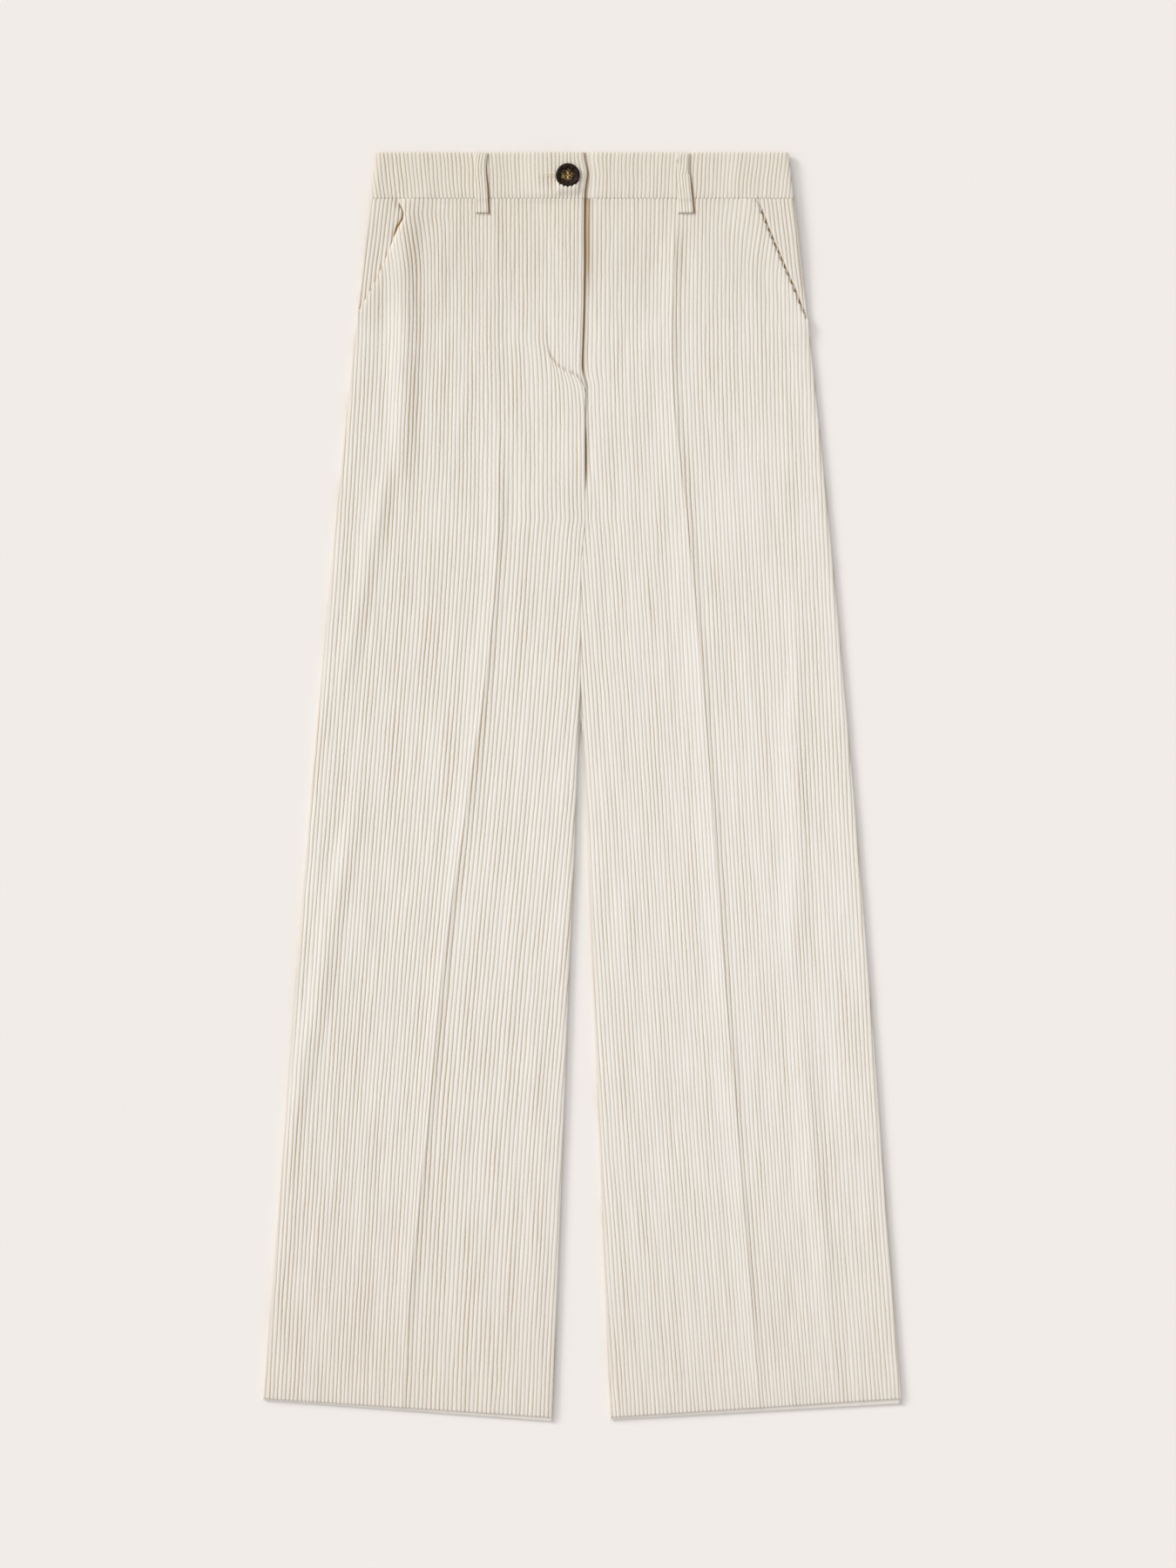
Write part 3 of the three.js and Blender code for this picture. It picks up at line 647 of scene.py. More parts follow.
def frontInside(row, x):
    # the inner face of a front panel, away from its edges
    z = row.inside
    reach = creaseRidge["low" if x < row.crease else "high"]
    z += row.creaseHeight * clamp(1 - abs(x - row.crease) / reach) ** 1.5
    for middle, reach, height in row.folds:
        z += height * bump(x, middle, reach)
    z += row.pocketLift * smooth(30, 0, row.pocket - abs(x))
    if row.side == "right":
        z += smooth(-45, -8, x) * (fly["lift"] * row.underlap + row.bulge)
    else:
        z -= smooth(14, 3, x) * row.bulge
    return z


def frontLining(row, x):
    z = frontInside(row, x)
    if row.side == "left":
        z = mix(z, row.backOver + fly["under"], smooth(12, 2.6, x) * row.underlap)
    return mix(z, row.level + seam["inner"], frontTurn(row, x))


def frontTurn(row, x):
    return max(centreTurn(row, x), row.outerRoll * sideTurn(row, x))


def lineDistance(line, x, d):
    best = 99
    for (x0, d0), (x1, d1) in zip(line, line[1:]):
        dx, dd = x1 - x0, d1 - d0
        t = clamp(((x - x0) * dx + (d - d0) * dd) / (dx * dx + dd * dd))
        best = min(best, hypot(x - x0 - dx * t, d - d0 - dd * t))
    return best


def underLoops(x, d):
    # the shaded strip beside each front belt loop
    if d > loop["length"]:
        return 0
    away = min((x - loopHigh[side](d) for side in sign), key=abs)
    reach = mix(0.8, 1.9, smooth(0, 34, d))
    strength = 0.95 if x < 0 else mix(0.5, 0.95, smooth(18, 30, d))
    return strength * smooth(-0.6, -0.1, away) * smooth(reach, reach - 0.7, away) * smooth(-2, 8, d)


def frontBody(row, x):
    # a front panel's inner face and its thickness
    inside, wall = frontInside(row, x), row.wall
    if row.side == "left":
        share = smooth(12, 2.6, x) * row.underlap
        inside = mix(inside, row.backOver + fly["under"], share)
        wall = mix(wall, fly["lapWall"], share)
    return inside, wall


facing = {
    "under": 14, "clear": 0.5, "wall": 1.2, "groove": 0.6,
    "wales": {"right": (-1, 22), "left": (-22, 1)},
    "cut": {"right": (54, 95), "left": (58, 104)},      # flat width and length
}
band = {
    "back": 2.8, "inside": 5.7, "wall": 2.4, "level": 5.2, "lap": 30, "lapInside": 5.1, "lapWall": 1.8,
    "overlapLift": 1.5, "lean": -0.025, "edge": 2.2,
    "wales": {"right": (-55, 2), "left": (-11, 55), "back": (-55, 55)},
    "cut": {"right": 188, "left": 215, "back": 368},    # flat lengths
}
waistRow = {side: legRow(side, trousers["band"]) for side in sign}


def facingInside(row, x):
    # it rises to the height of the band that it is sewn to, but stays below the front at the mouth
    fromPocket = abs(x) - row.pocket
    lift = 0.7 * smooth(pocket["end"][row.side] + 4, pocket["end"][row.side] - 30, row.d)
    lift += 1.3 * smooth(80, 42, row.d) * smooth(-1, 6, fromPocket)
    if row.side == "left":
        full = 1.6 * smooth(-0.1, 0.9, fromPocket)
        lift = max(lift, 0.7 + full * smooth(pocket["end"]["left"], 100, row.d))
    return mix(row.backOver + facing["clear"] + lift, row.level + seam["inner"], sideTurn(row, x))


def bandInside(side, x):
    if side == "right":
        return band["inside"] + band["overlapLift"] * smooth(-60, -32, x)
    return mix(band["inside"], band["lapInside"], smooth(11, 5, x))


def bandWall(side, x):
    return mix(band["wall"], band["lapWall"], smooth(11, 4, x)) if side == "left" else band["wall"]


def waistMeets(side, x):
    # the height at which the waistband and the piece below it are sewn together
    row = waistRow[side]
    if abs(x) > row.pocket:
        below = facingInside(row, x) + facing["wall"]
    else:
        below = sum(frontBody(row, x))
    return (below + bandInside(side, x) + bandWall(side, x)) / 2


def frontFace(row, x, u):
    # height, how much painted shade the point gets in seams, under edges and beside loops, and how far it
    # moves down the garment
    d, right = row.d, row.side == "right"
    pile = pileAt(u)
    low = (1 - pile) / 2      # 0 on the crest, 1 in the groove
    wear = 1 + 0.25 * noise.noise(Vector((u * 0.7, d * 0.05, 5)))
    inside, wall = frontBody(row, x)
    z = inside + wall + 0.5 * cloth["groove"] * pile * wear
    z += 0.22 * noise.noise(Vector((x / 17, d / 60, 2)))     # the cloth is never quite flat
    push = 0

    # the pressed crease parts the pile just beyond its ridge, and painted shade darkens that line
    parted = creaseRidge["parted"] * row.creaseHeight * exp(-((x - row.crease - 1) / 0.7) ** 2)
    z -= parted
    paintedShade = parted

    # caught in the waist seam, with painted shade in its grooves
    fromBand = d - trousers["band"] - seam["gap"]
    if fromBand < 6:
        z = mix(z, waistMeets(row.side, x) + 0.5 * cloth["groove"] * pile, smooth(5, 0, fromBand))
        z -= seam["pinch"] * turnDown(fromBand, seam["round"])
        push = smooth(2.5, 0, fromBand) * seam["scallop"] * (low - 0.3)
        paintedShade = max(paintedShade, 0.6 * smooth(1.2, 0, fromBand) * low)
    paintedShade = max(paintedShade, underLoops(x, d))

    # the pocket's turned edge, with painted shade at its grooves' ends and, on the right, along its lower
    # edge
    if row.hasPocket:
        fromPocket = row.pocket - abs(x) - row.drawn * sin(pi * u) ** 2
        if right:
            z -= mix(1.5, 0.9, smooth(76, 96, d)) * turnDown(fromPocket, pocket["edge"])
            paintedShade = max(paintedShade, 0.25 * smooth(1.5, 0.3, fromPocket) * low,
                         0.3 * smooth(76, 96, d) * smooth(1.8, 0.2, fromPocket))
        else:
            z -= 1.4 * turnDown(fromPocket, pocket["edge"])
            paintedShade = max(paintedShade, 0.8 * smooth(1.3, 0.3, fromPocket) * low * smooth(47, 53, d))

    # the fly's turned edge, and the centre seam below it, with painted shade under the edge and in the seam's
    # slit, and a painted shadow beside the fly on the left front
    fromInner = abs(x - row.inner)
    flyShare = smooth(fly["end"] + 8, fly["end"] - 4, d)
    seamShare = (1 - flyShare) * (1 - row.innerRoll)
    slit = fly["slit"]
    gaping = smooth(slit["from"], slit["open"], d) * smooth(slit["to"], slit["closing"], d)
    if right:
        z -= 1.25 * flyShare * turnDown(fromInner, 2.6)
        z -= (0.1 + 0.5 * gaping) * seamShare * dip(fromInner, 2.4)
        paintedShade = max(paintedShade, max(0.9 * gaping, flyShare) * smooth(0.5, 0, fromInner),
                     0.3 * seamShare * smooth(0.8, 0, fromInner))
    else:
        z -= (0.1 + 0.7 * gaping) * seamShare * dip(fromInner, 2.6)
        past = x - row.flyX
        shade = flyShare * mix(0.2, 1, smooth(140, 85, d))
        paintedShade = max(paintedShade, flyShare * smooth(1.7, 0.8, past),
                     shade * (0.55 * smooth(9, 0.5, past) + 0.7 * low * smooth(13, 3, past)),
                     gaping * smooth(1.5, 0.6, fromInner), 0.2 * seamShare * smooth(0.8, 0, fromInner),
                     gaping * (0.4 * smooth(5, 0, fromInner) + 0.3 * low * smooth(7, 1, fromInner)))

    # the fly's stitching, sunk in, with painted shade along it
    if right and x > -38 and d < 210:
        near = lineDistance(fly["line"], x, d)
        curve = smooth(150, 172, d)
        z -= fly["sink"] * (0.3 + 1.1 * curve) * exp(-(near / 1.0) ** 2)
        paintedShade = max(paintedShade, (0.16 + 0.34 * curve) * exp(-(near / 0.7) ** 2))

    # the hem: caught down, then turned at its lowest edge
    fromHem = trousers["length"] - trousers["frontHemShort"] - d
    if fromHem < 50:
        caught = fromHem - trousers["hemTurn"] + 2
        dimple = 0.5 + 0.5 * noise.noise(Vector((x / 6, 7.7, 0)))
        z -= hem["dimple"] * exp(-(caught / 2.5) ** 2) * dimple
        z -= hem["drop"] * smooth(6, 0, fromHem) + hem["turn"] * turnDown(fromHem, 1.4)
        push -= 0.3 * low * smooth(1.5, 0, fromHem)

    z = max(z, inside + 0.35)
    return mix(z, row.level + seam["outer"], frontTurn(row, x)), max(paintedShade, edgeShade(row, x)), push


def edgeShade(row, x):
    # painted shade on folded edges that face the light, to dim their lit rim
    outer = smooth(3.6, 0.2, x + row.half) * row.outerRoll
    inner = smooth(3.6, 0.2, x - row.centre) * row.innerRoll if row.side == "left" else 0
    return 0.25 * max(outer, inner)


# Building a wall of cloth

def spreadRow(row, columns, xOf, edges):
    # each column's place on a row; columns beyond an edge gather on it and keep the wale count there
    xs = [xOf(row, u) for u in columns]
    x0, x1 = edges(row)

    def countAt(x):
        for i in range(1, len(xs)):
            if xs[i] >= x or i == len(xs) - 1:
                t = clamp((x - xs[i - 1]) / max(1e-6, xs[i] - xs[i - 1]))
                return mix(columns[i - 1], columns[i], t)

    u0, u1 = countAt(x0), countAt(x1)
    x0 += row.scallop[0] * sin(pi * u0) ** 2
    x1 -= row.scallop[1] * sin(pi * u1) ** 2
    near = 0.16     # closer than this to an edge, a column joins it
    return [(x0, u0) if x < x0 + near else (x1, u1) if x > x1 - near else (x, u) for x, u in zip(xs, columns)]


def waleColumns(first, last, shares):
    return [n + share for n in range(first, last) for share in shares] + [last]


def buildWall(name, columns, rows, xOf, edges, face, lining, place, look, inside):
    # a grid with its points moved to the outer face, then extruded to the plain inner one
    perWale = next(i for i, u in enumerate(columns) if u >= columns[0] + 1)
    bm = bmesh.new()
    bmesh.ops.create_grid(bm, x_segments=len(columns) - 1, y_segments=len(rows) - 1, size=1)
    across = bm.verts.layers.float.new("across")
    along = bm.verts.layers.float.new("along")
    paintedShadeLayer = bm.verts.layers.float.new("paintedShade")
    slopeShadeAndPressingLayer = bm.verts.layers.float.new("slopeShadeAndPressing")
    rowLayer = bm.verts.layers.int.new("row")
    columnLayer = bm.verts.layers.int.new("column")
    points = iter(bm.verts)
    area = 0
    for k, row in enumerate(rows):
        spots = spreadRow(row, columns, xOf, edges)
        if k:
            area += (spots[-1][0] - spots[0][0]) * (row.d - rows[k - 1].d)
        for column, (x, u) in enumerate(spots):
            vertex = next(points)
            z, paintedShade, push = face(row, x, u)
            px, py = place(row, x, push)
            vertex.co = (px * mm, py * mm, z * mm)
            vertex[across] = u * cloth["walePitch"] * mm
            vertex[along] = row.d * mm
            # painted shade, kept per point for the material
            vertex[paintedShadeLayer] = clamp(paintedShade)
            # painted shade from the slope of the inner face: wider dark grooves where it falls away from the
            # light; pressing closes them
            slope = lining(row, x + 0.5) - lining(row, x - 0.5)
            vertex[slopeShadeAndPressingLayer] = min(0.45, max(-0.3, -slope * cloth["shadeBySlope"])) - row.pressed
            vertex[rowLayer] = k
            vertex[columnLayer] = column
    bmesh.ops.remove_doubles(bm, verts=bm.verts, dist=0.004 * mm)
    grown = bmesh.ops.extrude_face_region(bm, geom=bm.faces[:])["geom"]
    innerVerts = [g for g in grown if isinstance(g, bmesh.types.BMVert)]
    innerFaces = [g for g in grown if isinstance(g, bmesh.types.BMFace)]
    within = set(innerVerts)
    for f in bm.faces:
        f.smooth = len({v in within for v in f.verts}) == 1      # only the wall's edge stays flat
    for vertex in innerVerts:
        vertex.co.z = lining(rows[vertex[rowLayer]], vertex.co.x / mm) * mm
    # the turnings of hem and seam show the cloth's right side within
    for f in innerFaces:
        row = rows[f.verts[0][rowLayer]]
        turned = row.d > trousers["length"] - trousers["hemTurn"] or row.pressed > 0.5
        f.material_index = 0 if turned else 1
    # the plain inner face needs only one column of faces a wale
    inner = set(innerFaces)
    spare = []
    for edge in bm.edges:
        a, b = edge.verts
        if (a[columnLayer] == b[columnLayer] and a[columnLayer] % perWale and a[rowLayer] != b[rowLayer]
                and len(edge.link_faces) == 2 and all(f in inner for f in edge.link_faces)):
            spare.append(edge)
    bmesh.ops.dissolve_edges(bm, edges=spare, use_verts=True)
    bmesh.ops.recalc_face_normals(bm, faces=bm.faces)
    uv = bm.loops.layers.uv.new("cloth")
    for f in bm.faces:
        for loop in f.loops:
            loop[uv].uv = (loop.vert[across], loop.vert[along])
    piece = addPiece(name, bm, [look, inside])
    piece["flatArea"] = area * mm * mm
    return piece


def addPiece(name, bm, looks):
    mesh = bpy.data.meshes.new(name)
    bm.to_mesh(mesh)
    bm.free()
    for look in looks:
        mesh.materials.append(look)
    piece = bpy.data.objects.new(name, mesh)
    bpy.context.scene.collection.objects.link(piece)
    return piece


def finishCloth(piece, node, width, length, restsOn):
    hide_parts(node)
    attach(piece, "root")


def depthsBetween(first, last, step):
    count = max(1, round((last - first) / step))
    return [mix(first, last, k / count) for k in range(count)]


# The camera, straight above as in the photograph

camera = {"lens": 85, "height": 3.22, "x": 0.0049, "y": 0.0019}
lens = bpy.data.cameras.new("Camera")
lens.lens = camera["lens"]
lens.sensor_width = 36
lens.clip_end = 20
cameraObject = bpy.data.objects.new("Camera", lens)
cameraObject.location = (camera["x"], camera["y"], camera["height"])
bpy.context.scene.collection.objects.link(cameraObject)
bpy.context.scene.camera = cameraObject
print("camera set")

button = {
    "x": -12.5, "d": 20.4, "radius": 10.5, "thickness": 3.4, "bottom": 9.6,
    "holeRadius": 0.95, "holeSpread": 1.72, "turned": -4, "tilt": 5,      # its lower rim sinks into the cloth
}
stage = {"paper": "#EEE9E5", "paperLow": "#EAE5E1"}

corduroy = makeCorduroy()
wrongSide = makeLining()
thread = makeThread()
horn = makeHorn()
print("materials made")


# Front panels

for side in sign:
    lowest = trousers["length"] - trousers["frontHemShort"]
    top = trousers["band"] + seam["gap"]
    depths = [top, top + 0.5, top + 1.1, top + 2, top + 3.4]
    depths += depthsBetween(top + 5.5, 152, 1.7 if side == "left" else 2.5)
    depths += depthsBetween(152, 212, 3)
    depths += depthsBetween(212, 340, 5.4)
    depths += depthsBetween(340, lowest - 48, 16)
    depths += depthsBetween(lowest - 48, lowest - 26, 3.2)
    depths += depthsBetween(lowest - 26, lowest - 3, 8)
    depths += [lowest - 2.4, lowest - 1.5, lowest - 0.8, lowest - 0.3, lowest]

    def panelEdges(row):
        outer = row.s * (row.pocket if row.hasPocket else row.half)
        inner = row.inner
        if row.side == "left":
            inner -= fly["lapWidth"] * smooth(fly["end"] + 17, fly["end"] - 5, row.d)
        return (outer, inner) if row.side == "right" else (inner, outer)

    panel = buildWall(f"panel_front_{side}", waleColumns(*waleSpan[side], cloth["across"]),
                      [legRow(side, d) for d in depths], waleX, panelEdges, frontFace, frontLining, placed,
                      corduroy, wrongSide)
    finishCloth(panel, f"front_{side}", panelCut["width"], panelCut["length"], [f"back_{side}"])
    print("front panel", side, len(panel.data.polygons), "faces")


# Back panels: the same cloth, face down

backPanel = {
    "rowStep": 18, "seamPinch": 0.5,
    "pressed": 1.3,         # how far pressing closes the grooves
    "hemFold": {"from": 1086, "to": 1095, "thick": 0.3},
    "forkFold": {"middle": 490, "reach": 80},
}


def backTurn(row, x):
    return max(sideTurn(row, x), centreTurn(row, x))


def backFace(row, x, u):
    fromCentre = abs(x - row.centre)
    z = waistLift * waistShare(row.d) + 0.5 * cloth["groove"] * (1 - pileAt(u))
    z += backPanel["seamPinch"] * (1 - row.innerRoll) * turnDown(fromCentre, 2)
    fromHem = trousers["length"] - row.d
    z += 1.2 * turnDown(fromHem, 2)
    # painted shade along the centre seam
    paintedShade = 0.5 * smooth(1, 0, fromCentre) * (1 - row.innerRoll)
    return mix(z, row.level - seam["outer"], backTurn(row, x)), paintedShade, 0


def backLining(row, x):
    fold = backPanel["hemFold"]
    over = row.backOver + fold["thick"] * smooth(fold["from"] - 1, fold["to"] - 2, row.d)
    over -= 0.8 * turnDown(trousers["length"] - row.d, 2.2)
    return mix(over, row.level - seam["inner"], backTurn(row, x))


def backRow(side, d):
    # behind, the legs part lower down; no grooves show on the turnings there and on the hem's pressed fold
    row = legRow(side, d, parting["back"])
    hemFold, forkFold = backPanel["hemFold"], backPanel["forkFold"]
    row.pressed = backPanel["pressed"] * max(smooth(hemFold["from"], hemFold["to"], d),
                                             bump(d, forkFold["middle"], forkFold["reach"]))
    return row


def backHem(row, x, push=0):
    # the back shows a little below the front
    px, py = placed(row, x, push)
    across = clamp((x - row.centre) / (row.s * row.half - row.centre))
    peek = mix(*hem["peek"][row.side], across)
    return px, py - peek * smooth(trousers["length"] - 60, trousers["length"], row.d)


for side in sign:
    depths = [trousers["band"] + 0.15, 44, 50] + depthsBetween(58, 1050, backPanel["rowStep"])
    depths += [1050, 1058, 1062, 1066, 1080, 1092, 1097, 1098.6, 1099.5, 1100]
    panel = buildWall(f"panel_back_{side}", waleColumns(*waleSpan[side], cloth["acrossBack"]),
                      [backRow(side, d) for d in depths], waleX,
                      lambda row: tuple(sorted((row.s * row.half, row.centre))),
                      backFace, backLining, backHem, corduroy, wrongSide)
    finishCloth(panel, f"back_{side}", panelCut["width"], panelCut["length"], [])
    print("back panel", side, len(panel.data.polygons), "faces")


# Pocket facings

def facingFace(row, x, u):
    d = row.d
    pile = pileAt(u)
    low = (1 - pile) / 2
    turn = sideTurn(row, x)
    z = facingInside(row, x) + mix(facing["wall"] + 0.5 * facing["groove"] * pile, 1.05, turn)
    fromBand = d - trousers["band"] - 0.15
    z = mix(z, waistMeets(row.side, x) + 0.5 * cloth["groove"] * pile, smooth(4, 0, fromBand) * (1 - turn))
    z -= seam["pinch"] * turnDown(fromBand, seam["round"])
    # painted shade in the waist seam's grooves and along the outer edge
    paintedShade = max(0.6 * smooth(1.2, 0, fromBand) * low, 0.2 * smooth(2.6, 0.2, x + row.half))
    fromPocket = abs(x) - row.pocket      # how far out from the pocket's mouth
    if row.side == "right":
        # its mouth stands open near the top, painted dark as its shade, and below that only the grooves' ends
        # get painted shade
        reach = 0.7 + 1.6 * bump(d, 64, 14)
        mouth = smooth(43, 47, d) * smooth(75, 71, d)
        paintedShade = max(paintedShade, mouth * smooth(reach + 0.3, reach - 0.3, fromPocket),
                     0.7 * low * smooth(3.4, 0.3, fromPocket) * smooth(pocket["end"]["right"] + 8, 90, d))
    else:
        # painted shade in the dark beads where the grooves draw back from the mouth
        mouth = smooth(47, 53, d) * smooth(pocket["end"]["left"] + 4, pocket["end"]["left"] - 16, d)
        paintedShade = max(paintedShade, mouth * smooth(-0.1, -0.6, fromPocket))
    return z, paintedShade, 0


for side in sign:
    end = pocket["end"][side] - 1

    def facingEdges(row):
        under = max(2.5, facing["under"] * clamp((pocket["end"][row.side] - row.d) / 40))
        both = row.s * row.half, row.s * (row.pocket - under)
        return min(both), max(both)

    facingPiece = buildWall(
        f"facing_{side}", waleColumns(*facing["wales"][side], cloth["across"]),
        [legRow(side, d) for d in [40.03, 41, 42.5, 45] + depthsBetween(46.5, end, 1.4) + [end]],
        lambda row, u: row.s * row.half + u * cloth["walePitch"] + strayAt(u, row.d, 70), facingEdges,
        facingFace, facingInside, straightPlace, corduroy, wrongSide)
    finishCloth(facingPiece, f"pocket_facing_{side}", *facing["cut"][side], [f"back_{side}"])
print("facings made")


# Waistband

lip = {"height": 2.5, "reach": 10, "top": 29.4, "curve": 4.5}    # cloth pushed up over the button's lower rim


def bandRow(d):
    return SimpleNamespace(d=d, half=halfWidth(d), flyX=flyEdgeX(d), scallop=(0, 0), pressed=0)


def bandX(row, u):
    x = trousers["centre"] + u * cloth["walePitch"]
    x = x * (1 + band["lean"] * row.d / trousers["band"]) + strayAt(u, row.d, 20)
    return x + besideFly(x, row.d) + 1.3 * noise.noise(Vector((u * 0.11, row.d * 0.035, 61)))


def bandDepths(fine=False):
    low = trousers["band"] - seam["gap"]
    middle = depthsBetween(4, 25, 3) + depthsBetween(25, 35, 0.7 if fine else 3)
    return [0, 0.25, 0.7, 1.4, 2.4] + middle + [35, low - 3.4, low - 2, low - 1.1, low - 0.5, low]


def bandLining(side):
    return lambda row, x: mix(bandInside(side, x), band["level"] + seam["inner"], sideTurn(row, x))


def bandFace(side):
    def face(row, x, u):
        pile = pileAt(u)
        low = (1 - pile) / 2
        d = row.d
        inside = bandInside(side, x)
        past = x - row.flyX
        paintedShade = underLoops(x, d)
        # painted shadow beside the fly's edge
        if side == "left":
            shade = mix(0.5, 1, smooth(4, 22, d))
            paintedShade = max(paintedShade, shade * (0.85 * smooth(2, 0.5, past) + 0.12 * smooth(8, 1, past)))
        z = inside + bandWall(side, x) + 0.5 * cloth["groove"] * pile
        z += 0.3 * noise.noise(Vector((x / 14, d / 40, 11)))
        if side == "right":
            z -= 1.7 * turnDown(-past, 2.8)
            # painted shade under the folded edge
            paintedShade = max(paintedShade, 0.9 * smooth(0.5, 0, -past))
            z -= 0.35 * smooth(9, 4, -past) * smooth(0.5, 3, -past)      # slack beside the folded edge
            aside = (x - button["x"]) / lip["reach"]
            start = lip["top"] - lip["curve"] * aside * aside + 1.4 * low
            raised = smooth(start - 0.5, start + 0.6, d) * smooth(39.5, 31, d) * smooth(1.15, 0.8, abs(aside))
            z += lip["height"] * raised
            # grooves run deep below the buttonhole, with painted shade in them
            below = bump(x, -30, 14) * smooth(20, 22, d) * smooth(34, 26, d)
            z -= 0.35 * below * low
            paintedShade = max(paintedShade, 0.3 * below * low)
            # deep shade under the button, which shows through its holes
            paintedShade = max(paintedShade, smooth(7, 5, hypot(x - button["x"], d - button["d"])))
        z -= 1.1 * turnDown(d, band["edge"])
        # painted shade at the top edge's groove ends and along the outer edge
        paintedShade = max(paintedShade, 0.3 * smooth(1.6, 0, d) * low, 0.2 * smooth(2.6, 0.2, x + row.half))
        fromSeam = trousers["band"] - seam["gap"] - d
        z = mix(z, waistMeets(side, x) + 0.5 * cloth["groove"] * pile, smooth(5, 0, fromSeam))
        z -= seam["pinch"] * turnDown(fromSeam, seam["round"])
        # painted shade in the waist seam's grooves
        paintedShade = max(paintedShade, 0.6 * smooth(1.2, 0, fromSeam) * low)
        push = 0.35 * low * smooth(2, 0, d) - smooth(2.5, 0, fromSeam) * seam["scallop"] * (low - 0.3)
        z = max(z, inside + 0.4)
        return mix(z, band["level"] + seam["outer"], sideTurn(row, x)), paintedShade, push
    return face


for side in sign:
    edges = {
        "right": lambda row: (-row.half, row.flyX),
        "left": lambda row: (-band["lap"], row.half),
    }[side]
    bandPiece = buildWall(
        f"band_front_{side}", waleColumns(*band["wales"][side], cloth["across"]),
        [bandRow(d) for d in bandDepths(side == "right")], bandX, edges, bandFace(side), bandLining(side),
        straightPlace, corduroy, wrongSide)
    finishCloth(bandPiece, f"waistband_front_{side}", band["cut"][side], trousers["band"], ["waistband_back"])


def backBandFace(row, x, u):
    z = waistLift + 0.5 * cloth["groove"] * (1 - pileAt(u))
    z += 1.1 * turnDown(row.d, 2) + 0.9 * turnDown(trousers["band"] - seam["gap"] - row.d, 2.5)
    return mix(z, band["level"] - seam["outer"], sideTurn(row, x)), 0, 0


def backBandLining(row, x):
    return mix(waistLift + band["back"], band["level"] - seam["inner"], sideTurn(row, x))


bandPiece = buildWall(
    "band_back", waleColumns(*band["wales"]["back"], cloth["acrossBack"]),
    [bandRow(d) for d in bandDepths()], bandX, lambda row: (-row.half, row.half),
    backBandFace, backBandLining, straightPlace, corduroy, wrongSide)
finishCloth(bandPiece, "waistband_back", band["cut"]["back"], trousers["band"], [])
print("waistband made")


# Belt loops: folded strips, four wales wide

def loopRest(side):
    onBand = band["inside"] + band["wall"] + 0.5 * cloth["groove"]
    middle = loop["front"][side]

    def rest(row, x):
        onPanel = frontInside(row, middle) + cloth["wall"] + 0.5 * cloth["groove"]
        under = max(onBand, onPanel) if row.d < trousers["band"] + 1 else onPanel
        return trousers["gap"] + under + loop["bow"] * sin(pi * clamp((row.d - 5) / 38))
    return rest


def loopRow(side, d):
    row = legRow(side, d)
    row.low, row.high = loopLow[side](d), loopHigh[side](d)
    return row


def loopX(row, u):
    # the strip's wales follow its right edge, and step aside where the left one is puckered
    step = 1.5 * smooth(20, 14, row.d) if row.side == "left" else 0
    return row.high + (u - 0.9) * loop["pitch"] + 0.8 * strayAt(u, row.d, 55) + step


loopTop = 0.8
loopDepths = [loopTop, 1.0, 1.5, 2.3, 3.5, 5.5, 8] + depthsBetween(11, 38, 3)
loopDepths += [38, 40, 40.9, 42.5, 44.5, 46.5, 48.5, 50, 51, 51.8, 52.4, 52.8, loop["length"]]
for side in loop["front"]:
    rest = loopRest(side)

    def loopFace(row, x, u, rest=rest):
        pile = pileAt(u)
        low = (1 - pile) / 2
        fromFoot = loop["length"] - row.d
        fromHigh = row.high - x
        z = rest(row, x) + loop["wall"] + 0.25 * pile
        z += 0.3 * noise.noise(Vector((x / 5, row.d / 9, 31)))
        z -= 1.1 * turnDown(fromHigh, 1.8) + 1.2 * turnDown(x - row.low, 4)
        z -= 1.0 * turnDown(row.d - loopTop, 1.6)
        z -= 1.0 * turnDown(fromFoot, 1.1)
        # painted shade at the foot, in the top's grooves and along the high edge
        paintedShade = max(0.65 * smooth(0.9, 0.15, fromFoot) * (0.4 + 0.6 * low),
                     0.3 * smooth(1.2, 0, row.d - loopTop) * low, 0.3 * smooth(0.6, 0.1, fromHigh))
        if row.side == "left":
            # its upper corner is puckered, with painted shade in the pucker
            corner = hypot(x - row.low - 1.4, row.d - 6)
            z += 0.7 * smooth(3.2, 0, corner)
            paintedShade = max(paintedShade, 0.6 * smooth(1.3, 0.3, hypot(x - row.low - 0.6, (row.d - 8.4) * 0.7)))
        push = -0.35 * low * smooth(2.2, 0, fromFoot)
        return max(z, rest(row, x) + 0.3), paintedShade, push

    loopPiece = buildWall(
        f"loop_front_{side}", waleColumns(-4, 2, cloth["across"]), [loopRow(side, d) for d in loopDepths],
        loopX, lambda row: (row.low, row.high), loopFace, rest, straightPlace, corduroy, corduroy)
    finishCloth(loopPiece, f"belt_loop_front_{side}", loop["width"], loop["length"],
                [f"waistband_front_{side}", f"front_{side}"])

